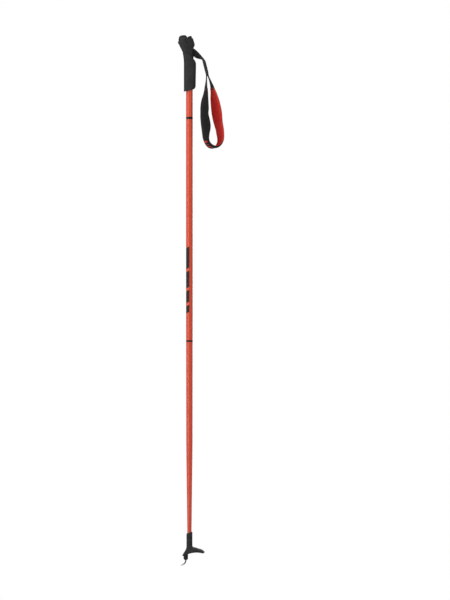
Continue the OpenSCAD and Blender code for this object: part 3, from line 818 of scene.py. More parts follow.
# Glass-filled nylon from a spark-eroded mould: near black, with a broad soft highlight
HEAD_NYLON = Moulded("moulded_glass_filled_nylon", "#2b2b2d", "#272729", 0.5, grain=0.7, grain_depth=0.03,
                     gleam=0.16)
# Thermoplastic rubber: matt and slightly warmer to the eye than the nylon, dry to the touch
HANDLE_RUBBER = Moulded("moulded_thermoplastic_rubber", "#303031", "#2a2a2b", 0.66, grain=0.9,
                        grain_depth=0.028, sheen=0.03, gleam=0.14)
# Acetal wedge: a smoother, tighter skin than the head round it
WEDGE_ACETAL = Moulded("moulded_acetal", "#262729", "#212224", 0.44, grain=0.5, grain_depth=0.015, gleam=0.2)
# Nylon basket: even mould skin, grey where the light falls and nearly black under the dome
BASKET_NYLON = Moulded("moulded_nylon_basket", "#343436", "#2e2e30", 0.6, grain=0.8, grain_depth=0.02,
                       cloud=14, gleam=0.12)
# Polyester webbing, ribbed across, with painted shade between the ribs: the ribs are drawn a little coarser than
# real so that they show
WEBBING = Woven("ribbed_polyester_webbing", "#252528", "#151517", 0.75, warp=2.4, weft=1.6, depth=0.25,
                nap=9, sheen=0.05)
# Brushed knit over the pad: black, dull, with a low nap and painted shade between the loops
OUTER_KNIT = Woven("brushed_black_knit", "#171719", "#101012", 0.85, warp=0.9, weft=0.9, depth=0.12, nap=5,
                   sheen=0.05)
# Dyed warp-knit lining: red with a velvety nap, and painted shade between the stitches
RED_LINING = Woven("red_warp_knit_lining", "#d93229", "#b6261e", 0.8, warp=1.2, weft=1.2, depth=0.1, nap=6,
                   sheen=0.04)
# Closed-cell foam: charcoal, matt, finely pored, with painted shade in the pores
PAD_FOAM = Cellular("closed_cell_foam", "#3c3c3e", "#1f1f21", 0.9)
# Bonded polyester thread in two dyes, with painted light and shade along the twist
BLACK_THREAD = Spun("black_polyester_thread", "#242426", "#151517", 0.6)
RED_THREAD = Spun("red_polyester_thread", "#c62f26", "#8f211a", 0.6)
# Hot-melt glue: cloudy amber with a wet gloss
GLUE = Moulded("hot_melt_glue", "#c9b27c", "#a98f58", 0.3, grain=2, grain_depth=0.1, cloud=4, gleam=0.5)
# Hardened carbon steel: dark oxide on the shank, ground bright at the point
SPIKE_STEEL = Ground("ground_hardened_steel", "#e2e4e6", "#3c3e42", 0.34, bare_low=-1199.5, bare_high=-1194)
# Matt white studio paper, with painted light that makes it as bright far behind the pole as under it
STUDIO_PAPER = Sweep("white_studio_paper", "#f3f3f1", "#efefed", 0.9, grain=3, grain_depth=0.01, cloud=200)


# Sub-assemblies


@dataclass
class Shaft:
    """Tapered composite tube with its lacquer and plain printed bands."""

    # Tube, from the end in the grip down to the end in the basket
    spigot_r: float = 8.0
    taper_r: float = 7.8
    foot_r: float = 5.3
    parallel_length: float = 520
    quick_taper: float = 208
    foot_length: float = 39
    spigot_low: float = -41
    edge: float = 0.2
    around: int = 96
    span_rows: int = 8
    # Prints: lowest and highest level of each ring, and the row of bars from its top down
    ink: float = 0.04
    ring_places: tuple[tuple[float, float], ...] = ((-112.0, -106.2), (-654.6, -650.4))
    bar_top: float = -424
    bar_lengths: tuple[float, ...] = (52, 40, 29, 18)
    bar_gap: float = 7
    bar_turn: float = -128
    bar_spread: float = 74
    bar_slant: float = 4.5
    bar_rows: int = 20
    bar_columns: int = 15

    def __post_init__(self) -> None:
        """Take the tube's ends and its full radius from the frame."""
        low, high = node_box("shaft_tube")
        self.end, self.top, self.full_r = low[2], high[2], high[0]

    def profile(self) -> Array:
        """List the tube's outline from the basket up to the hidden end in the grip.

        Returns:
            Rows of a height and the radius there.
        """
        taper_low = self.end + self.foot_length
        return np.array([
            (self.end, self.foot_r), (taper_low, self.foot_r),
            (taper_low + self.quick_taper, self.taper_r),
            (self.spigot_low - self.parallel_length, self.full_r),
            (self.spigot_low - self.edge, self.full_r), (self.spigot_low, self.full_r - self.edge),
            (self.spigot_low + self.edge, self.spigot_r), (self.top, self.spigot_r),
        ])

    def surface(self, turn: Array, level: Array, proud: float = 0) -> Array:
        """Give points on the tube: the outline's radius at a level, turned about the axis.

        Args:
            turn: angle about the axis in radians.
            level: height.
            proud: distance off the surface.

        Returns:
            Points, shaped as the two arrays together with a last axis of three.
        """
        outline = self.profile()
        radius = np.interp(level, outline[:, 0], outline[:, 1]) + proud
        return np.stack(np.broadcast_arrays(radius * np.cos(turn), radius * np.sin(turn), level), axis=-1)

    def turns(self) -> Array:
        """Give the angles of the points round the tube."""
        return np.arange(self.around) * 2 * np.pi / self.around

    def build_tube(self) -> None:
        """Turn the outline about the axis."""
        outline = self.profile()
        fine = np.concatenate([np.linspace(a, b, self.span_rows, endpoint=False)
                               for a, b in zip(outline[:-1, 0], outline[1:, 0])] + [outline[-1:, 0]])
        rings = self.surface(self.turns()[None, :], fine[:, None])
        piece("shaft", tube(rings), ORANGE_LACQUER, Body.POLE, ("shaft_tube",))

    def build_prints(self) -> None:
        """Lay plain rings round the tube, and a row of slanting bars that shorten down it."""
        rings = []
        for low, high in self.ring_places:
            levels = np.array([low, low, high, high])[:, None]
            proud = np.array([-self.ink, self.ink, self.ink, -self.ink])[:, None]
            rings.append(tube(self.surface(self.turns()[None, :], levels, proud)))
        piece("printed_rings", joined(rings), BLACK_INK, Body.POLE)
        bars, top = [], self.bar_top
        across = np.linspace(-0.5, 0.5, self.bar_columns)[None, :]
        turn = np.radians(self.bar_turn + self.bar_spread * across)
        for length in self.bar_lengths:
            level = np.linspace(top - length, top, self.bar_rows)[:, None] + self.bar_slant * across
            bars.append(slab(self.surface(turn, level, self.ink), self.surface(turn, level, -self.ink)))
            top -= length + self.bar_gap
        piece("printed_bars", joined(bars), BLACK_INK, Body.POLE)

    def build(self) -> None:
        """Build the tube and its prints."""
        self.build_tube()
        self.build_prints()


@dataclass
class Grip:
    """Moulded head with the strap lock, the soft handle under it, and the wedge."""

    # Handle
    handle_front: float = 13.6
    palm_back: float = 16.1
    heel_back: float = 14.6
    handle_half: float = 12.6
    heel_slant: float = 13
    heel_edge: float = 1
    heel_round: float = 6.5
    heel_round_x: float = -4
    heel_round_reach: float = 14
    bore_r: float = 8.45
    bore_depth: float = 7
    bore_round: float = 0.5
    # Head
    head_half: float = 12.5
    head_back: float = 13
    exit_back: float = 9.6
    head_proud: float = 1.1
    lobe_reach: float = 26.6
    lip_reach: float = 2.2
    lip_drop: float = 18.5
    lip_rise: float = 5.5
    lip_fall: float = 4.5
    crown_round: float = 1.5
    # Seam between the two
    seam_x: float = -14
    seam_r: float = 25
    seam_rise: float = 1.5
    seam_drop: float = 15.8
    seam_round: float = 1.2
    seat_gap: float = 0.3
    tenon: float = 2
    tenon_inset: float = 1.5
    # Notch and deck on the head's top
    ramp_x: float = -9.6
    notch_x: float = -5.1
    deck_drop: float = 6.1
    ramp_drop: float = 4.9
    deck_slope: float = 4
    notch_round: float = 1.2
    deck_round: float = 1.4
    # Groove on each side of the head
    groove_turn: float = 53
    groove_length: float = 12.5
    groove_w: float = 2.8
    groove_depth: float = 1.8
    groove_lead: float = 3
    groove_rise: float = 7.5
    groove_round: float = 0.6
    # Lock: the wedge's two circles, each a place and a radius, and the slot behind them
    front_pulley: tuple[float, float] = (-0.2, 4.0)
    back_pulley: tuple[float, float] = (4.0, 2.0)
    wedge_gap: float = 0.3
    slot_half: float = 1.525
    slot_high: float = 10.3
    mouth_round: float = 0.7
    # Wedge
    horn_x: float = 3.2
    horn_rise: float = 4.6
    horn_fall: float = 2.4
    horn_back: float = 2.6
    horn_round: float = 1.2
    wedge_round: float = 1.0
    shoulder_round: float = 0.4
    tongue: float = 2.45
    tongue_end: float = 0.4
    tongue_root: float = 1
    # Sections and meshes
    power: float = 2.4
    cell: float = 0.45

    def __post_init__(self) -> None:
        """Take the levels from the frame: the head's top, the strap's exit and the handle's lower end."""
        self.top = node_box("grip_head")[1][2]
        self.exit = hinge_place("strap_side_swing")[2]
        self.heel = node_box("handle_sleeve")[0][2]
        self.lip = self.top - self.lip_drop
        self.deck = self.top - self.deck_drop
        self.seam_front = self.exit + self.seam_rise
        self.seam_back = self.exit - self.seam_drop

    def head_stations(self) -> Array:
        """List the sections that the head's loft goes through.

        Returns:
            Rows of a height and the front, back and half width there.
        """
        front, lobe, back, half = -self.handle_front, -self.lobe_reach, self.head_back, self.head_half
        slot = self.exit_back
        return np.array([
            (self.seam_back - 4, front - 0.4, slot + 0.9, half - 0.4),
            (self.exit - 3, front - 2.6, slot, half),
            (self.exit + 5, front - 5, slot, half),
            (self.exit + 12, front - 8.5, slot + 1, half),
            (self.lip - self.lip_rise, lobe + 1.6, back, half),
            (self.lip + self.lip_fall, lobe, back - 2.4, half - 0.6),
            (self.top - 6, lobe + 0.8, back - 5.4, half - 2.4),
            (self.top - 3, lobe + 2.6, back - 8, half - 4.6),
            (self.top - 0.8, lobe + 6.8, back - 12, half - 7.6),
            (self.top, lobe + 11, back - 19, half - 11),
        ])

    def handle_stations(self) -> Array:
        """List the sections that the handle's loft goes through.

        Returns:
            Rows of a height and the front, back and half width there.
        """
        front, palm, heel, half = -self.handle_front, self.palm_back, self.heel_back, self.handle_half
        tucked = self.head_half - self.head_proud
        return np.array([
            (self.heel - 12, front, heel - 0.4, half - 0.4),
            (self.heel + 12, front, heel + 0.6, half - 0.3),
            (-8, front, palm - 0.4, half),
            (self.seam_back - 17, front, palm, half + 0.2),
            (self.seam_back - 9, front, palm - 0.4, half),
            (self.seam_back + 3, front - 0.9, self.exit_back + 0.9, tucked - 0.4),
            (self.seam_front + 3, front - 3.7, self.exit_back - 0.8, tucked),
        ])

    def above_seam(self, x: Array, z: Array) -> Array:
        """Give the field of the head's side of the seam: outside an arc at the front, above a level behind."""
        arc = self.seam_r - np.hypot(x - self.seam_x, z - (self.seam_front - self.seam_r))
        return np.maximum(arc, self.seam_back - z)

    def head_field(self, x: Array, y: Array, z: Array) -> Array:
        """Give the head's field: a loft cut by the seam and the deck, less the lock's cavity and the grooves.

        Args:
            x: place from front to back.
            y: place across.
            z: height.

        Returns:
            The field in millimetres, below zero inside.
        """
        front, back, half = through(self.head_stations(), z)
        lip = np.clip(1 - np.abs(z - self.lip) / np.where(z < self.lip, self.lip_rise, self.lip_fall), 0, 1)
        skin = squircle(x, y, front - self.lip_reach * lip, back, half, self.power)
        skin = smooth_max(skin, z - self.top, self.crown_round)
        fall = self.ramp_drop / (self.notch_x - self.ramp_x)
        ramp = over_ramp(x, z, (self.ramp_x, self.top), fall)
        deck = z - self.deck + math.tan(math.radians(self.deck_slope)) * (x - self.notch_x)
        body = smooth_max(skin, self.above_seam(x, z), self.seam_round)
        body = smooth_max(body, smooth_min(ramp, deck, self.notch_round), self.deck_round)
        (front_x, front_r), (back_x, back_r) = self.front_pulley, self.back_pulley
        cavity = belt(x, y, (front_x, front_r + self.wedge_gap), (back_x, back_r + self.wedge_gap))
        cavity = np.maximum(cavity, self.exit - self.slot_high - z)
        slot = np.maximum(np.abs(y) - self.slot_half, np.abs(z - self.exit) - self.slot_high)
        slot = np.maximum(slot, back_x - x)
        body = smooth_max(body, -np.minimum(cavity, slot), self.mouth_round)
        turn = math.radians(self.groove_turn)
        along_x, along_z = x + self.lobe_reach / 2 - self.groove_lead, z - self.lip - self.groove_rise
        along = along_x * math.cos(turn) - along_z * math.sin(turn)
        reach = np.clip(along, self.groove_w / 2, self.groove_length - self.groove_w / 2)
        groove = np.hypot(along_x - reach * math.cos(turn), along_z + reach * math.sin(turn)) - self.groove_w / 2
        groove = smooth_max(groove, -skin - self.groove_depth, self.groove_round)
        return smooth_max(body, -groove, self.groove_round)

    def handle_field(self, x: Array, y: Array, z: Array) -> Array:
        """Give the handle's field: a loft under the seam and let into the head, with a slanted, rounded heel.

        Args:
            x: place from front to back.
            y: place across.
            z: height.

        Returns:
            The field in millimetres, below zero inside.
        """
        front, back, half = through(self.handle_stations(), z)
        skin = squircle(x, y, front, back, half, self.power)
        tenon = self.tenon * np.clip(-self.tenon_inset - skin, 0, 1)
        skin = smooth_max(skin, self.seat_gap - self.above_seam(x, z) - tenon, self.seam_round)
        slant = math.radians(self.heel_slant)
        heel = (self.heel - z) * math.cos(slant) + (x + self.handle_front) * math.sin(slant)
        rounded = ease((x - self.heel_round_x) / self.heel_round_reach)
        body = smooth_max(skin, heel, self.heel_edge + self.heel_round * rounded)
        bore = np.maximum(np.hypot(x, y) - self.bore_r, z - self.heel - self.bore_depth)
        return smooth_max(body, -bore, self.bore_round)

    def wedge_field(self, x: Array, y: Array, z: Array) -> Array:
        """Give the wedge's field: a belt round two circles under a ramp and a horn, on a thin tongue.

        Args:
            x: place from front to back.
            y: place across.
            z: height.

        Returns:
            The field in millimetres, below zero inside.
        """
        (front_x, front_r), (back_x, back_r) = self.front_pulley, self.back_pulley
        horn, front, back = self.deck + self.horn_rise, front_x - front_r, back_x + back_r
        ramp = over_ramp(x, z, (self.horn_x, horn), self.horn_fall / (front - self.horn_x))
        heel = over_ramp(x, z, (self.horn_x, horn), (self.horn_rise - self.horn_back) / (back - self.horn_x))
        shoulder = self.exit + self.slot_high - z
        upper = belt(x, y, self.front_pulley, self.back_pulley)
        upper = smooth_max(upper, smooth_max(ramp, heel, self.horn_round), self.wedge_round)
        upper = smooth_max(upper, shoulder, self.shoulder_round)
        tongue = belt(x, y, (front_x, self.tongue), (back_x - self.tongue_end, self.tongue_end))
        low = self.exit - self.slot_high + self.seat_gap - z
        return np.minimum(upper, np.maximum(tongue, np.maximum(-shoulder - self.tongue_root, low)))

    def build(self) -> None:
        """Mesh the three mouldings, each in its node's box, which is lower or higher where the seam needs it."""
        low, high = node_box("grip_head")
        low[2] = self.seam_back
        piece("head", netted(self.head_field, low, high, self.cell), HEAD_NYLON, Body.POLE,
              ("grip_head",), sharp=60)
        low, high = node_box("handle_sleeve")
        high[2] += self.tenon
        piece("handle", netted(self.handle_field, low, high, self.cell), HANDLE_RUBBER, Body.POLE,
              ("handle_sleeve",), sharp=60)
        piece("wedge", netted(self.wedge_field, *node_box("strap_wedge"), self.cell / 2), WEDGE_ACETAL,
              Body.WEDGE, ("strap_wedge",), sharp=60)


@dataclass
class Ribbon:
    """A strap's middle line as whole arrays, one row to each place along it."""

    points: Array
    across: Array
    cuts: Array

    def __post_init__(self) -> None:
        """Work out the travel, the outward normal and the length run at each row."""
        self.travel = unit(np.gradient(self.points, axis=0))
        self.normal = unit(np.cross(self.travel, self.across))
        steps = np.linalg.norm(np.diff(self.points, axis=0), axis=1)
        self.run = np.concatenate([[0], np.cumsum(steps)])

    def surface(self, shares: Array, height: Array) -> Array:
        """Give points off the strap: across by a share of the half width, out by a height.

        Args:
            shares: places across, from -1 to 1.
            height: distance along the normal, one row to each row of the strap.

        Returns:
            Points shaped rows, shares, 3.
        """
        wide = (self.cuts[:, None] * shares)[..., None] * self.across[:, None]
        return self.points[:, None] + wide + np.asarray(height)[..., None] * self.normal[:, None]

    def solid(self, shares: Array, low: Array, high: Array) -> Mesh:
        """Close the layer between two heights off the strap into one thin solid."""
        return slab(self.surface(shares, low), self.surface(shares, high))

    def cloth(self, shares: Array) -> Array:
        """Give the flat place of each point of a slab on the strap.

        Args:
            shares: places across the slab's two faces.

        Returns:
            Distances across and along, one row to each point.
        """
        both = np.concatenate([shares, shares[::-1]])
        wide = self.cuts[:, None] * both
        return np.stack([wide, np.broadcast_to(self.run[:, None], wide.shape)], axis=-1).reshape(-1, 2)

    def at(self, run: Array) -> "Ribbon":
        """Read the strap again at other places, with straight lines between its rows.

        Args:
            run: lengths along the strap.

        Returns:
            A strap with one row to each length.
        """
        def read(values: Array) -> Array:
            """Interpolate each column of a list of vectors."""
            return np.stack([np.interp(run, self.run, column) for column in values.T], axis=1)

        other = Ribbon(read(self.points), unit(read(self.across)), np.interp(run, self.run, self.cuts))
        other.travel, other.normal, other.run = unit(read(self.travel)), unit(read(self.normal)), run
        return other


def softened(points: Array, across: Array, room: float) -> tuple[Array, Array]:
    """Bend a line softly at its corners: two steps to a millimetre, each the bell-weighted mean of its neighbours.

    Args:
        points: the line.
        across: direction across the strap at each point.
        room: length on either side that each mean takes in.

    Returns:
        The softened line and directions, with the two ends where they were.
    """
    run = np.concatenate([[0], np.cumsum(np.linalg.norm(np.diff(points, axis=0), axis=1))])
    even = np.linspace(0, run[-1], 2 * int(run[-1]))
    step = even[1]
    reach = np.minimum(room, np.minimum(even, run[-1] - even))
    offsets = np.linspace(-1, 1, 2 * int(room / step) + 1)
    weights = (1 - offsets ** 2) ** 2
    places = even[:, None] + reach[:, None] * offsets

    def mean(values: Array) -> Array:
        """Average each column of a list of vectors."""
        return np.stack([(np.interp(places, run, column) * weights).sum(1) / weights.sum()
                         for column in values.T], axis=1)

    return mean(points), unit(mean(across))


def threads(places: Array, travel: Array, normal: Array, length: float, radius: float) -> Mesh:
    """Lay short stitches: each is a small arched tube whose two ends dip into the cloth.

    Five rings make the arch. Their places are shares of the half length, their radii and lifts are shares of
    the thread's radius.

    Args:
        places: middle of each stitch.
        travel: direction of each stitch.
        normal: outward direction at each stitch.
        length: length of a stitch.
        radius: radius of the thread.

    Returns:
        Points and faces of all the stitches.
    """
    along = np.array([-1, -0.8, 0, 0.8, 1])
    thick = np.array([0.35, 0.85, 1, 0.85, 0.35])
    lift = np.array([-1.2, -0.2, 0.25, -0.2, -1.2])
    turn = np.arange(THREAD_SIDES) * 2 * np.pi / THREAD_SIDES
    side = np.cross(normal, travel)
    middle = (places[:, None] + length / 2 * along[:, None] * travel[:, None]
              + radius * lift[:, None] * normal[:, None])
    ring = (np.cos(turn)[None, :, None] * side[:, None] + np.sin(turn)[None, :, None] * normal[:, None])
    points = middle[:, :, None] + radius * thick[:, None, None] * ring[:, None]
    rows, columns = len(along), len(turn)
    _, one = tube(np.zeros((rows, columns, 3)))
    faces = [[corner + number * rows * columns for corner in face]
             for number in range(len(places)) for face in one]
    return points.reshape(-1, 3), faces


def pipe(path: Array, side: Array, radius: Array | float, around: int) -> Mesh:
    """Carry a circle along a path: each ring is the cosine times the side plus the sine times its upright.

    Args:
        path: points of the middle.
        side: direction square to the path at each point.
        radius: radius of the circle, one for all or one for each point.
        around: number of points in a ring.

    Returns:
        Points and faces.
    """
    upright = np.cross(unit(np.gradient(path, axis=0)), side)
    turn = (np.arange(around) * 2 * np.pi / around)[None, :, None]
    ring = np.cos(turn) * side[:, None] + np.sin(turn) * upright[:, None]
    return tube(path[:, None] + np.broadcast_to(radius, len(path))[:, None, None] * ring)


@dataclass
class Strap:
    """Webbing from the lock to the wings, and the padded loop that the hand goes through."""

    # Webbing
    web_w: float = 20
    web_t: float = 1.2
    ply_gap: float = 0.05
    web_edge: float = 0.5
    edge_thinned: float = 0.94
    edge_steps: int = 5
    flat_steps: int = 7
    # Fold round the wedge's tongue
    fold_x: float = -0.2
    fold_r: float = 3.35
    fold_reach: float = 5.99
    fold_turn: float = 57
    fold_lead: float = 3
    fold_rows: int = 33
    # Neck: the handles of its curve, as shares of its reach and drop, and the way it rolls from upright to level
    neck_leave: tuple[float, float] = (0.36, 0.34)
    neck_arrive: tuple[float, float] = (0.13, 0.41)
    neck_cut: float = 0.62
    neck_rows: int = 40
    roll_start: float = 0.06
    roll_lead: float = 0.7
    knee_share: float = 0.58
    drop_length: float = 29.8
    drop_rows: int = 20
    drop_lean: float = 14.1
    # Loop
    loop_length: float = 182
    loop_r: float = 22
    loop_bow: float = 7
    near_bow: float = 1.5
    far_bow: float = 0.75
    loop_lean: float = 5.6
    loop_turn: float = 29
    leg_twist: float = 4
    tip_twist: float = 6
    split_twist: float = 12
    split_lead: float = 0.6
    leg_rows: int = 26
    bare_length: float = 37
    tucked: float = 7
    # Pad's outline
    tip_w: float = 21
    wing_w: float = 44
    bridge_w: float = 25
    wing_at: float = 0.44
    curl: float = 3.5
    cup_middle: float = 0.4
    # Waves of the pad's edges: share of its length, lift of the front edge, lift of the back edge
    edges: tuple[tuple[float, float, float], ...] = (
        (0, 0, 0), (0.04, -0.8, -0.8), (0.1, -1.8, 0.9), (0.16, -2.6, -0.4), (0.2, -1.4, -2.3),
        (0.25, -4.4, -1.8), (0.29, -5.6, -1.1), (0.32, -4.6, -0.7), (0.36, -1.5, -0.6), (0.41, -1.6, -2.2),
        (0.44, -2.6, -0.7), (0.475, -3.4, 2), (0.51, -3.8, 2), (0.55, -4.4, -1.4), (0.6, -2.2, -1.6),
        (0.64, 0.6, 0.2), (0.68, 1.6, 2), (0.74, 0.4, 1), (0.81, 1.4, -0.3),
        (0.87, 0.8, -1.8), (0.92, 0.2, -2.4), (0.96, -0.3, -0.9), (1, 0, 0))
    wave_power: float = 2.2
    # Pad's layers
    foam_t: float = 2.2
    foam_thinned: float = 0.93
    foam_power: float = 8
    foam_at_tip: float = 0.35
    tip_ramp: float = 14
    outer_t: float = 0.9
    lining_t: float = 0.7
    skin_gap: float = 0.03
    roll_w: float = 1.3
    roll_left: float = 0.12
    pad_rows: int = 260
    pad_columns: int = 25
    edge_crowding: float = 1.6
    # Hems and the lining's creases where the bridge bends
    hem: float = 3.2
    hem_w: float = 0.9
    hem_sunk: float = 0.45
    cloth_sunk: float = 0.3
    pucker: float = 0.25
    crease_spread: float = 0.09
    crease_pitch: float = 9
    crease_h: float = 0.18
    stitch_pitch: float = 3.2
    stitch_length: float = 2.5
    bare_stitches: int = 3
    thread_r: float = 0.28
    # Plain bars on the bridge: first and last share of the pad's length, half width as a share, and thickness
    bars: tuple[tuple[float, float], ...] = ((0.406, 0.424), (0.434, 0.442), (0.452, 0.466), (0.476, 0.484))
    bar_half: float = 0.62
    bar_sunk: float = 0.2
    bar_proud: float = 0.12
    # Bar tacks
    tack_length: float = 4
    tack_inset: float = 1.5
    tack_pitch: float = 1.0
    tack_steps: int = 8
    tack_overshoot: float = 0.1
    # Lengths over which the webbing bends
    swing_room: float = 2.4
    knee_room: float = 5
    bend_room: float = 5

    def __post_init__(self) -> None:
        """Take the exit and the knee from the frame's joints, and work out the loop's own directions."""
        self.exit = hinge_place("strap_side_swing")
        self.knee = hinge_place("loop_swing")
        self.knee_turn = self.knee_share * self.loop_turn
        self.drop_axis, self.lean_axis = (
            np.array([math.sin(lean), 0, -math.cos(lean)])
            for lean in map(math.radians, (self.drop_lean, self.loop_lean)))
        self.split = self.knee + self.drop_length * self.drop_axis
        self.loop_h = self.loop_length - self.loop_r
        self.alpha = math.asin(self.loop_r / self.loop_h)
        self.leg_length = self.loop_h * math.cos(self.alpha)
        self.leg_start = self.bare_length / self.leg_length
        self.pad_leg = self.leg_length - self.bare_length
        self.pad_arc = self.loop_r * (math.pi + 2 * self.alpha)
        self.pad_length = 2 * self.pad_leg + self.pad_arc
        self.ply = (self.web_t + self.ply_gap) / 2

    @staticmethod
    def turned(degrees: Array) -> Array:
        """Give the level direction across a strap that is turned about the vertical."""
        turn = np.radians(degrees)
        return np.stack([np.sin(turn), -np.cos(turn), 0 * turn], axis=-1)

    def loop_point(self, place: Array, degrees: Array) -> Array:
        """Put places of the flat loop into space: down its axis by the length and aside by the spread.

        Args:
            place: rows of a spread and a length, which is below zero above the split.
            degrees: the loop's turn about the vertical at each.

        Returns:
            Points.
        """
        turn = np.radians(degrees)
        spread = np.stack([np.cos(turn), np.sin(turn), 0 * turn], axis=-1)
        axis = np.where(place[:, 1:] < 0, self.drop_axis, self.lean_axis)
        return self.split + place[:, 1:] * axis + place[:, :1] * spread

    def leg_place(self, side: Side, t: Array) -> Array:
        """Run down one leg: a straight line to the arc, bowed by a squared sine, low or high on the leg.

        Args:
            side: which leg.
            t: shares of the way.

        Returns:
            Rows of a spread and a length.
        """
        s, c = math.sin(self.alpha), math.cos(self.alpha)
        straight = t[:, None] * self.leg_length * np.array([side.value * s, c])
        bow = np.sin(np.pi * np.clip(t, 0, 1) ** (self.near_bow if side is Side.NEAR else self.far_bow)) ** 2
        return straight + self.loop_bow * bow[:, None] * np.array([side.value * c, -s])

    def pad_turn(self, q: Array) -> Array:
        """Give the loop's turn at a share of the pad's length, less at the near leg and at the tips."""
        tip = np.cos(np.pi / 2 * np.minimum(1, 2 * np.minimum(q, 1 - q) / self.wing_at)) ** 2
        return self.loop_turn - self.leg_twist * np.cos(np.pi * q) - self.tip_twist * tip

    def pad_half(self, q: Array) -> Array:
        """Give the pad's half width: a square's rise from narrow tips to wide wings, eased to a narrow bridge.

        Args:
            q: shares of the pad's length.

        Returns:
            The half width at each.
        """
        s = 2 * np.minimum(q, 1 - q)
        rise = 1 - (1 - np.clip(s / self.wing_at, 0, 1)) ** 2
        fall = ease((1 - s) / (1 - self.wing_at))
        return np.where(s < self.wing_at, self.tip_w + (self.wing_w - self.tip_w) * rise,
                        self.bridge_w + (self.wing_w - self.bridge_w) * fall) / 2

    def neck(self, s: Array) -> tuple[Array, Array]:
        """Run from the exit to the knee on a cubic curve, while the webbing rolls from upright to level.

        Args:
            s: share of the way.

        Returns:
            Points, and the direction across the webbing at each.
        """
        reach, drop = self.knee[0] - self.exit[0], self.exit[2] - self.knee[2]
        a, d = self.exit, self.knee
        b = a + np.array([self.neck_leave[0] * reach, 0, -self.neck_leave[1] * drop])
        c = d + np.array([-self.neck_arrive[0] * reach, 0, self.neck_arrive[1] * drop])
        t = s[:, None]
        points = (1 - t) ** 3 * a + 3 * t * (1 - t) ** 2 * b + 3 * t * t * (1 - t) * c + t ** 3 * d
        rolled = np.clip((s - self.roll_start) / (1 - self.roll_start), 0, 1)
        roll = np.pi / 2 * rolled * (1 + self.roll_lead * (1 - rolled))
        level = self.turned(self.knee_turn * np.clip(2 * s - 1, 0, None) ** 2)
        return points, np.cos(roll)[:, None] * UP + np.sin(roll)[:, None] * level

    def web_shares(self) -> tuple[Array, Array]:
        """Give the webbing's section, with round selvedges.

        Returns:
            Places across as shares of the half width, and the half thickness at each.
        """
        half = self.web_w / 2
        edge = half - self.web_edge * (1 - np.cos(np.linspace(0, np.pi / 2, self.edge_steps)))
        inner = np.linspace(half - self.web_edge, 0, self.flat_steps)[1:]
        right = np.concatenate([edge, inner])
        off = np.clip((right - half + self.web_edge) / self.web_edge, 0, 1)
        thick = self.web_t / 2 * np.sqrt(np.clip(1 - self.edge_thinned * off * off, 0, 1))
        places = np.concatenate([-right, right[-2::-1]]) / half
        return places, np.concatenate([thick, thick[-2::-1]])

    def web_slab(self, ribbon: Ribbon) -> tuple[Mesh, Array]:
        """Give a ribbon the webbing's thickness.

        Args:
            ribbon: the webbing's middle line.

        Returns:
            The mesh, and the flat place of each of its points.
        """
        shares, thick = self.web_shares()
        thick = np.broadcast_to(thick, (len(ribbon.run), len(shares)))
        return ribbon.solid(shares, -thick, thick), ribbon.cloth(shares)

    def fold_line(self) -> tuple[Array, Array]:
        """Lead the webbing in from one side of the neck, round the wedge's tongue and out on the other side.

        Returns:
            Points of the ply's middle, and the direction across at each.
        """
        s = np.linspace(self.neck_cut, 0, self.neck_rows)
        points, across = self.neck(s)
        travel = np.gradient(points, axis=0)
        travel[-1] = (-1, 0, 0)
        normal = unit(np.cross(-travel, across))
        near, far = points + self.ply * normal, points - self.ply * normal
        turn = np.radians(np.linspace(-self.fold_turn, self.fold_turn - 360, self.fold_rows))
        lead = [self.exit[0] - self.fold_lead, self.fold_reach]
        x = np.concatenate([lead, self.fold_x + self.fold_r * np.cos(turn), lead[::-1]])
        y = np.concatenate([[-self.ply] * 2, self.fold_r * np.sin(turn), [self.ply] * 2])
        inner = np.stack([x, y, np.full_like(x, self.exit[2])], axis=1)
        level = np.broadcast_to(UP, inner.shape)
        return (np.concatenate([near, inner, far[::-1]]),
                np.concatenate([across, level, across[::-1]]))

    def build_upper(self) -> None:
        """Build the webbing from the lock to half way along the neck, bent at the slot."""
        points, across = self.fold_line()
        mesh, cloth = self.web_slab(Ribbon(points, across, np.full(len(points), self.web_w / 2)))
        upper = piece("upper_webbing", mesh, WEBBING, None, ("webbing_in_grip", "webbing_neck"),
                      cloth, sharp=60)
        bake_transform(upper)

    def leg_line(self, side: Side) -> tuple[Array, Array]:
        """Run from half way along the neck over the knee and down one leg into the pad's tip.

        Args:
            side: which leg.

        Returns:
            Points of the pair's middle, and the direction across at each.
        """
        first, first_across = self.neck(np.linspace(self.neck_cut, 1, self.leg_rows))
        down = np.linspace(-self.drop_length, 0, self.drop_rows)[1:]
        t = np.linspace(0, self.leg_start + self.tucked / self.leg_length, self.leg_rows)[1:]
        tip_turn = float(self.pad_turn(np.array(0.0 if side is Side.NEAR else 1.0)))
        share = np.clip(t / self.leg_start, 0, 1)
        back = self.split_twist * np.sin(np.pi * share ** self.split_lead)
        leg_turn = self.knee_turn + share * (tip_turn - self.knee_turn) - back
        place = np.concatenate([np.stack([0 * down, down], axis=1), self.leg_place(side, t)])
        turn = np.concatenate([np.full_like(down, self.knee_turn), leg_turn])
        return softened(np.concatenate([first, self.loop_point(place, turn)]),
                        np.concatenate([first_across, self.turned(turn)]), self.bend_room)

    def build_leg(self, side: Side) -> None:
        """Build one ply from the neck to its wing, bent at the knee.

        Args:
            side: which leg.
        """
        points, across = self.leg_line(side)
        middle = Ribbon(points, across, np.full(len(points), self.web_w / 2))
        ply = Ribbon(points - side.value * self.ply * middle.normal, across, middle.cuts)
        mesh, cloth = self.web_slab(ply)
        name = side.name.lower()
        leg = piece(f"{name}_webbing", mesh, WEBBING, None, (f"webbing_{name}_leg",), cloth, sharp=60)
        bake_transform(leg)

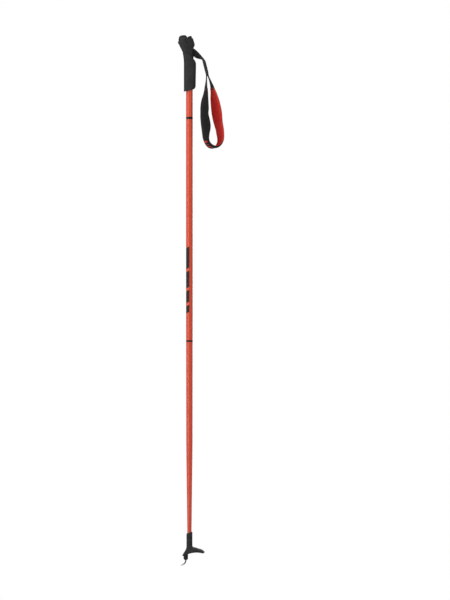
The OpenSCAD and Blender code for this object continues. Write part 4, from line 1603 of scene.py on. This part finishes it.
    def pad_line(self) -> tuple[Ribbon, Array]:
        """Run round the pad from the near tip to the far tip: down one leg, round an arc and up the other leg.

        Returns:
            The pad's middle line, and the share of the length at each row.
        """
        q = np.linspace(0, 1, self.pad_rows)
        run = q * self.pad_length
        near = self.leg_start + run / self.leg_length
        far = self.leg_start + (self.pad_length - run) / self.leg_length
        swing = math.pi + self.alpha - (run - self.pad_leg) / self.loop_r
        arc = np.stack([self.loop_r * np.cos(swing), self.loop_h + self.loop_r * np.sin(swing)], axis=1)
        place = np.where((run < self.pad_leg)[:, None], self.leg_place(Side.NEAR, near),
                         np.where((run > self.pad_length - self.pad_leg)[:, None],
                                  self.leg_place(Side.FAR, far), arc))
        turn = self.pad_turn(q)
        return Ribbon(self.loop_point(place, turn), self.turned(turn), self.pad_half(q)), q

    def pad_heights(self, ribbon: Ribbon, q: Array, shares: Array) -> dict[str, tuple[Array, Array]]:
        """Give the pad's layers as lower and upper heights off its middle line.

        The foam thins to its edges by the eighth power of the share across and to its tips by an eased ramp.
        Each cloth follows it, is rolled over at the edge, and is drawn in along the hem's stitches. All the
        layers are cupped towards the hand by the square of the share, and their two edges wave along the loop.

        Args:
            ribbon: the pad's middle line.
            q: share of the length at each row.
            shares: places across.

        Returns:
            Lower and upper height of each layer by name, shaped rows, shares.
        """
        off = ribbon.cuts[:, None] * (1 - np.abs(shares))
        along = 2 * np.pi * ribbon.run[:, None]
        tips = ease(np.minimum(q, 1 - q) * self.pad_length / self.tip_ramp)[:, None]
        foam = self.foam_t / 2 * (1 - self.foam_thinned * np.abs(shares) ** self.foam_power)
        foam = foam * (self.foam_at_tip + (1 - self.foam_at_tip) * tips)
        rolled = np.sqrt(np.clip(1 - (1 - np.clip(off / self.roll_w, 0, 1)) ** 2, 0, 1))
        rolled = self.roll_left + (1 - self.roll_left) * rolled
        hem = np.exp(-((off - self.hem) / self.hem_w) ** 2)
        drawn = self.cloth_sunk * hem * (1 - self.pucker * (1 - np.cos(along / self.stitch_pitch)))
        creases = np.exp(-((q[:, None] - 0.5) / self.crease_spread) ** 2) * np.cos(along / self.crease_pitch)
        cup = self.curl * ((2 * ribbon.cuts - self.tip_w) / (self.wing_w - self.tip_w))[:, None] ** 2
        front, back = through(np.array(self.edges), q)[..., None]
        wave = np.where(shares > 0, front, back) * np.abs(shares) ** self.wave_power
        lift = cup * (self.cup_middle - shares * shares) + wave
        sunk = foam * (1 - self.hem_sunk * hem)
        outer = sunk + self.skin_gap + self.outer_t * rolled * (1 - drawn)
        lining = sunk + self.skin_gap + self.lining_t * rolled * (1 - drawn)
        lining = lining + self.crease_h * creases * (1 - shares ** 4)
        return {
            "foam": (lift - sunk, lift + sunk),
            "outer": (lift + sunk + self.skin_gap, lift + outer),
            "lining": (lift - lining, lift - sunk - self.skin_gap),
        }

    def build_pad(self) -> None:
        """Build the foam, the two cloths on it, their hems' stitches and the plain woven bars."""
        ribbon, q = self.pad_line()
        half_row = 1 - (1 - np.linspace(0, 1, self.pad_columns)) ** self.edge_crowding
        shares = np.concatenate([-half_row[::-1], half_row[1:]])
        heights = self.pad_heights(ribbon, q, shares)
        cloth = ribbon.cloth(shares)

        def layer(name: str, part: str, finish: Finish, node: str) -> bpy.types.Object:
            """Close one layer between its lower and upper heights."""
            mesh = ribbon.solid(shares, *heights[part])
            return piece(name, mesh, finish, Body.LOOP, (node,), cloth, sharp=70)

        foam = layer("pad_filling", "foam", PAD_FOAM, "pad_foam")
        outer = layer("pad_outside", "outer", OUTER_KNIT, "pad_outer_fabric")
        lining = layer("pad_inside", "lining", RED_LINING, "pad_lining")
        outer_stitches = self.build_hem("outer_hem_stitches", ribbon, shares, heights["outer"][1], BLACK_THREAD)
        inner_stitches = self.build_hem("inner_hem_stitches", ribbon, shares, heights["lining"][0], RED_THREAD)
        self.build_bars(ribbon, q, shares, heights["outer"][1])

    def build_hem(self, name: str, ribbon: Ribbon, shares: Array, height: Array,
                  finish: Finish) -> bpy.types.Object:
        """Sew a row of stitches along both edges of one face of the pad.

        Args:
            name: name of the piece.
            ribbon: the pad's middle line.
            shares: places across where the face's height is known.
            height: height of the face off the middle line.
            finish: the thread.

        Returns:
            The stitches as one piece.
        """
        outward = np.sign(height[len(height) // 2, len(shares) // 2])
        bare = self.bare_stitches * self.stitch_pitch
        run = np.arange(bare, ribbon.run[-1] - bare, self.stitch_pitch)
        row = np.searchsorted(ribbon.run, run)
        rows = []
        for side in (-1, 1):
            hem = side * (1 - self.hem / ribbon.cuts)
            level = np.array([np.interp(h, shares, line) for h, line in zip(hem, height)])
            line = ribbon.points + (hem * ribbon.cuts)[:, None] * ribbon.across + level[:, None] * ribbon.normal
            travel = unit(np.gradient(line, axis=0))
            rows.append(threads(line[row], travel[row], outward * ribbon.normal[row], self.stitch_length,
                                self.thread_r))
        return piece(name, joined(rows), finish, Body.LOOP)

    def build_bars(self, ribbon: Ribbon, q: Array, shares: Array, height: Array) -> None:
        """Lay plain red bars across the outside of the bridge, as woven tape.

        Args:
            ribbon: the pad's middle line.
            q: share of the length at each row.
            shares: places across.
            height: height of the pad's outside off the middle line.
        """
        parts, cloths = [], []
        columns = np.flatnonzero(np.abs(shares) < self.bar_half)
        for first, last in self.bars:
            rows = np.flatnonzero((q >= first) & (q <= last))
            tape = Ribbon(ribbon.points[rows], ribbon.across[rows], ribbon.cuts[rows])
            low, high = (ribbon.surface(shares, height + off)[np.ix_(rows, columns)]
                         for off in (-self.bar_sunk, self.bar_proud))
            parts.append(slab(low, high))
            cloths.append(tape.cloth(shares[columns]))
        piece("pad_bars", joined(parts), RED_LINING, Body.LOOP, cloth=np.concatenate(cloths))

    def zigzag(self, ribbon: Ribbon, first: float, last: float, height: float, half: float) -> Mesh:
        """Sew a bar tack: a thread that runs to and fro between two lengths while it crosses the strap.

        Args:
            ribbon: the strap's middle line.
            first: length where the bar starts.
            last: length where it ends.
            height: distance off the middle line, with its sign.
            half: half width of the bar.

        Returns:
            The thread's mesh.
        """
        steps = int(2 * half / self.tack_pitch) * self.tack_steps
        t = np.linspace(0, 1, steps)
        sway = np.abs(((t * steps / self.tack_steps) % 2) - 1)
        sway = ease(sway * (1 + 2 * self.tack_overshoot) - self.tack_overshoot)
        line = ribbon.at(first + (last - first) * sway)
        wide = (half * (2 * t - 1))[:, None] * line.across
        path = line.points + wide + height * line.normal
        side = unit(np.cross(np.sign(height) * line.normal, np.gradient(path, axis=0)))
        return pipe(path, side, self.thread_r, THREAD_SIDES)

    def build_tacks(self) -> None:
        """Sew the bar tacks above the split and through the two tips."""
        half = self.web_w / 2 - self.tack_inset
        points, across = self.leg_line(Side.NEAR)
        line = Ribbon(points, across, np.full(len(points), self.web_w / 2))
        split = line.run[np.argmin(np.linalg.norm(points - self.split, axis=1))]
        face = self.web_t + self.ply_gap / 2
        last = split - self.tack_inset
        bars = [self.zigzag(line, last - self.tack_length, last, sign * face, half) for sign in (-1, 1)]
        piece("neck_tack", joined(bars), BLACK_THREAD, Body.LOOP, ("neck_bar_tack",))
        ribbon, q = self.pad_line()
        middle = np.zeros(1)
        heights = self.pad_heights(ribbon, q, middle)
        for side, start in ((Side.NEAR, self.tack_inset), (Side.FAR, ribbon.run[-1] - self.tack_inset)):
            step = -side.value * self.tack_length
            row = np.argmin(np.abs(ribbon.run - start - step / 2))
            bars = [self.zigzag(ribbon, start, start + step, float(heights[part][end][row, 0]), half)
                    for part, end in (("outer", 1), ("lining", 0))]
            name = side.name.lower()
            piece(f"{name}_tack", joined(bars), BLACK_THREAD, Body.LOOP, (f"{name}_bar_tack",))

    def build(self) -> None:
        """Build the webbing, the pad and the tacks."""
        self.build_upper()
        for side in Side:
            self.build_leg(side)
        self.build_pad()
        self.build_tacks()


@dataclass
class Basket:
    """Moulded basket with its sleeve and boss, and the bent steel spike."""

    # Plan: the lens where two circles overlap
    back_r: float = 37.2
    front_r: float = 30
    front_x: float = 12.4
    plan_blend: float = 2
    # Dome
    apex_x: float = -1
    dome_r: float = 61.5
    dome_height: float = 47.2
    hump_rise: float = 1.5
    hump_x: float = 32
    hump_half: float = 11
    brow_r: float = 6
    flank_slope: float = 58
    roll: float = 2.2
    least_end: float = 2
    share_past: float = 1.2
    probe: float = 0.3
    # Rim and shell
    rim_x: float = 17
    rim_r: float = 58
    rim_height: float = 32.2
    rim_blend: float = 0.9
    band: float = 4
    draft: float = 1.1
    plate_t: float = 2.4
    skirt_t: float = 2
    edge_blend: float = 0.8
    inner_blend: float = 1
    # Sleeve over the shaft's end
    sleeve_low_r: float = 7.25
    sleeve_high_r: float = 7.3
    hub_r: float = 7.05
    hub_low: float = 34.2
    socket_r: float = 5.65
    socket_floor: float = 47.9
    socket_blend: float = 0.4
    sleeve_height: float = 81
    sleeve_slant: float = 17
    sleeve_blend: float = 0.5
    fillet: float = 4
    # Boss that holds the spike
    boss_x: float = -8.9
    boss_r: float = 5.5
    boss_fillet: float = 1.6
    nose_low: float = 14
    nose_high: float = 17.5
    nose_r: float = 2.3
    # Ribs under the dome: turn about the shaft in degrees, and reach
    ribs: tuple[tuple[float, float], ...] = ((0, 36), (-62, 27), (62, 27))
    rib_low: float = 34.7
    rib_half: float = 0.8
    rib_fillet: float = 1.4
    # Spike, with the places of the rings past its bend
    pin_r: float = 1.47
    pin_sides: int = 32
    pin_hold: float = 12
    hold_rows: int = 6
    bend_r: float = 11
    bend: float = 63
    bend_rows: int = 25
    straight: float = 3
    point_length: float = 5
    point_r: float = 0.35
    point_steps: tuple[float, ...] = (1, 2, 2.9, 3.1, 4, 5, 6, 7, 7.6, 7.9, 8)
    bend_height: float = 13.74
    cell: float = 0.5

    def __post_init__(self) -> None:
        """Take the tip's level from the frame."""
        self.tip = node_box("tip_spike")[0][2]

    def ridge(self, x: Array) -> Array:
        """Give the dome's height along its middle: an arc to a low hump, a tight brow and a steep front flank.

        Args:
            x: place from front to back.

        Returns:
            The height over the tip.
        """
        slope = math.radians(self.flank_slope)
        off = x - self.apex_x
        flank_x = -self.brow_r * math.sin(slope)
        back = self.dome_height - self.dome_r + np.sqrt(np.clip(self.dome_r ** 2 - off ** 2, 0, None))
        brow = self.dome_height - self.brow_r + np.sqrt(np.clip(self.brow_r ** 2 - off ** 2, 0, None))
        flank = self.dome_height - self.brow_r * (1 - math.cos(slope)) + math.tan(slope) * (off - flank_x)
        hump = self.hump_rise * np.clip(1 - ((x - self.hump_x) / self.hump_half) ** 2, 0, None) ** 2
        return np.where(off > 0, back + hump, np.where(off > flank_x, brow, flank))

    def rim(self, x: Array) -> Array:
        """Give the height of the arch that the rim's lower edge follows."""
        return self.rim_height - self.rim_r + np.sqrt(self.rim_r ** 2 - (x - self.rim_x) ** 2)

    def top(self, x: Array, y: Array) -> Array:
        """Give the dome's height: the ridge, rolled down to a band above the rim by a power of the share across.

        Args:
            x: place from front to back.
            y: place across.

        Returns:
            The height over the tip.
        """
        ends = np.minimum(self.back_r ** 2 - x ** 2, self.front_r ** 2 - (x - self.front_x) ** 2)
        share = np.clip(np.abs(y) / np.sqrt(np.clip(ends, self.least_end ** 2, None)), 0, self.share_past)
        return self.ridge(x) - (self.ridge(x) - self.rim(x) - self.band) * share ** self.roll

    def field(self, x: Array, y: Array, z: Array) -> Array:
        """Give the basket's field: a domed shell on a lens plan, filleted to a sleeve, a boss and three ribs.

        Args:
            x: place from front to back.
            y: place across.
            z: height.

        Returns:
            The field in millimetres, below zero inside.
        """
        h, step = z - self.tip, self.probe
        tilt_x = (self.top(x + step, y) - self.top(x - step, y)) / (2 * step)
        tilt_y = (self.top(x, y + step) - self.top(x, y - step)) / (2 * step)
        cover = (h - self.top(x, y)) / np.sqrt(1 + tilt_x ** 2 + tilt_y ** 2)
        axis = np.hypot(x, y)
        plan = smooth_max(axis - self.back_r, np.hypot(x - self.front_x, y) - self.front_r, self.plan_blend)
        plan = plan + self.draft * np.clip(self.rim(x) + self.band - h, 0, self.band)
        outer = smooth_max(smooth_max(cover, plan, self.edge_blend), self.rim(x) - h, self.rim_blend)
        inner = smooth_max(cover + self.plate_t, plan + self.skirt_t, self.inner_blend)
        shell = smooth_max(outer, -inner, self.edge_blend)
        share = np.clip((h - self.dome_height) / (self.sleeve_height - self.dome_height), 0, 1)
        radius = np.where(h < self.dome_height, self.hub_r,
                          self.sleeve_low_r + (self.sleeve_high_r - self.sleeve_low_r) * share)
        slant = math.radians(self.sleeve_slant)
        cut = (h - self.sleeve_height) * math.cos(slant) - x * math.sin(slant)
        sleeve = smooth_max(smooth_max(axis - radius, cut, self.sleeve_blend), self.hub_low - h, self.edge_blend)
        body = smooth_min(shell, sleeve, self.fillet)
        nose = np.clip((h - self.nose_low) / (self.nose_high - self.nose_low), 0, 1)
        boss = np.hypot(x - self.boss_x, y) - self.nose_r - (self.boss_r - self.nose_r) * nose
        boss = smooth_max(np.maximum(boss, cover + self.plate_t / 2), self.nose_low - h, self.edge_blend)
        body = smooth_min(body, boss, self.boss_fillet)
        for turn, reach in self.ribs:
            c, s = math.cos(math.radians(turn)), math.sin(math.radians(turn))
            along, aside = x * c + y * s, np.abs(y * c - x * s) - self.rib_half
            wall = np.maximum(np.maximum(aside, -along), along - reach)
            wall = np.maximum(np.maximum(wall, self.rib_low - h), cover + self.plate_t / 2)
            body = smooth_min(body, wall, self.rib_fillet)
        socket = np.maximum(axis - self.socket_r, self.socket_floor - h)
        return smooth_max(body, -socket, self.socket_blend)

    def build_spike(self) -> None:
        """Carry a circle down the boss, round the bend and out to a ground point."""
        bend = np.radians(np.linspace(0, self.bend, self.bend_rows))
        low = self.tip + self.bend_height
        out = np.array([-math.sin(bend[-1]), 0, -math.cos(bend[-1])])
        held = np.linspace(self.tip + self.nose_low + self.pin_hold, low, self.hold_rows, endpoint=False)
        first = np.stack([0 * held + self.boss_x, 0 * held, held], axis=1)
        arc = np.stack([self.boss_x - self.bend_r * (1 - np.cos(bend)), 0 * bend,
                        low - self.bend_r * np.sin(bend)], axis=1)
        length = np.array(self.point_steps)
        path = np.concatenate([first, arc, arc[-1] + length[:, None] * out])
        taper = np.clip((length - self.straight) / self.point_length, 0, 1)
        point = self.pin_r + (self.point_r - self.pin_r) * taper
        point[-1] = self.point_r / 2
        radius = np.concatenate([np.full(len(first) + len(arc), self.pin_r), point])
        side = np.broadcast_to(np.array([0.0, 1.0, 0.0]), path.shape)
        piece("spike", pipe(path, side, radius, self.pin_sides), SPIKE_STEEL, Body.POLE,
              ("tip_spike",), sharp=50)

    def build(self) -> None:
        """Mesh the moulding and the spike."""
        piece("basket_moulding", netted(self.field, *node_box("basket"), self.cell), BASKET_NYLON,
              Body.POLE, ("basket",), sharp=60)
        self.build_spike()


@dataclass(frozen=True)
class Lamp:
    """A soft box: where it hangs, its width and height, and its power in watts."""

    name: str
    place: tuple[float, float, float]
    width: float
    height: float
    power: float


@dataclass
class Studio:
    """Pale floor, soft lamps and the camera that looks at the pole's side."""

    view_centre: tuple[float, float, float] = (86.6, 0, -552.5)
    view_height: float = 1461
    distance: float = 4000
    floor_half: float = 6000
    floor_gap: float = 1
    ambient: float = 0.3
    lamps: tuple[Lamp, ...] = (
        Lamp("key_lamp", (-1600, -2000, 1900), 2600, 2600, 66),
        Lamp("strip_lamp", (-2450, -2060, -552.5), 1000, 2600, 30),
        Lamp("fill_lamp", (2200, -2000, 900), 2200, 2200, 15),
        Lamp("back_lamp", (900, 2900, -300), 2400, 2400, 30),
    )

    def build_floor(self) -> None:
        """Lay the paper under the tip."""
        level, half = node_box("tip_spike")[0][2] - self.floor_gap, self.floor_half
        corners = np.array([(-half, -half, level), (half, -half, level), (half, half, level), (-half, half, level)])
        data = bpy.data.meshes.new("floor")
        data.from_pydata((corners * MM).tolist(), [], [(0, 1, 2, 3)])
        data.materials.append(STUDIO_PAPER.material())
        floor = bpy.data.objects.new("floor", data)
        bpy.context.scene.collection.objects.link(floor)

    def build_lamps(self) -> None:
        """Hang the soft boxes so that they face the middle of the pole."""
        middle = np.array(self.view_centre)
        for lamp in self.lamps:
            data = bpy.data.lights.new(lamp.name, "AREA")
            data.shape, data.energy = "RECTANGLE", lamp.power
            data.size, data.size_y = lamp.width * MM, lamp.height * MM
            self.aim(bpy.data.objects.new(lamp.name, data), np.array(lamp.place, float), middle)

    @staticmethod
    def aim(thing: bpy.types.Object, place: Array, target: Array) -> None:
        """Put a lamp or camera at a place, level, so that it faces a target.

        Args:
            thing: the lamp or camera, which looks down its own -Z.
            place: where it goes.
            target: what it faces.
        """
        back = unit(place - target)
        right = unit(np.cross(UP, back))
        turn = np.eye(4)
        turn[:3, :3] = np.stack([right, np.cross(back, right), back], axis=1)
        turn[:3, 3] = place * MM
        thing.matrix_world = turn.T
        bpy.context.scene.collection.objects.link(thing)

    def build_world(self) -> None:
        """Show white behind the pole, and light it with a softer grey."""
        world = bpy.data.worlds.new("white_studio")
        world.use_nodes = True
        tree = world.node_tree
        tree.nodes.clear()
        seen = add_node(tree, "ShaderNodeBackground", {"Color": (1, 1, 1, 1), "Strength": 1.0})
        cast = add_node(tree, "ShaderNodeBackground", {"Color": (1, 1, 1, 1), "Strength": self.ambient})
        path = add_node(tree, "ShaderNodeLightPath")
        mixed = add_node(tree, "ShaderNodeMixShader", links={
            0: path.outputs["Is Camera Ray"], 1: cast.outputs[0], 2: seen.outputs[0]})
        add_node(tree, "ShaderNodeOutputWorld", links={"Surface": mixed.outputs[0]})
        bpy.context.scene.world = world

    def build_camera(self) -> None:
        """Look level along Y with no perspective, as the photograph does."""
        data = bpy.data.cameras.new("camera")
        data.type, data.ortho_scale = "ORTHO", self.view_height * MM
        camera = bpy.data.objects.new("camera", data)
        middle = np.array(self.view_centre)
        self.aim(camera, middle - np.array([0, self.distance, 0]), middle)
        bpy.context.scene.camera = camera

    def build(self) -> None:
        """Set the stage, with plain sRGB display so that colours stay as they are mixed."""
        bpy.context.scene.view_settings.view_transform = "Standard"
        self.build_camera()
        self.build_world()
        self.build_lamps()
        self.build_floor()


def dress_hidden_nodes() -> None:
    """Give the two glue lines, which stay as the part has them, their material."""
    for node in ("grip_adhesive", "basket_adhesive"):
        for slot in bpy.data.objects[node].material_slots:
            slot.material = GLUE.material()
        log.info("%s: dressed as %s", node, GLUE.name)


def main() -> None:
    """Build the studio and the sub-assemblies in order."""
    logging.basicConfig(level=logging.INFO, format="%(message)s")
    for part in (Studio(), Shaft(), Grip(), Strap(), Basket()):
        part.build()
    dress_hidden_nodes()


if __name__ == "__main__":
    main()
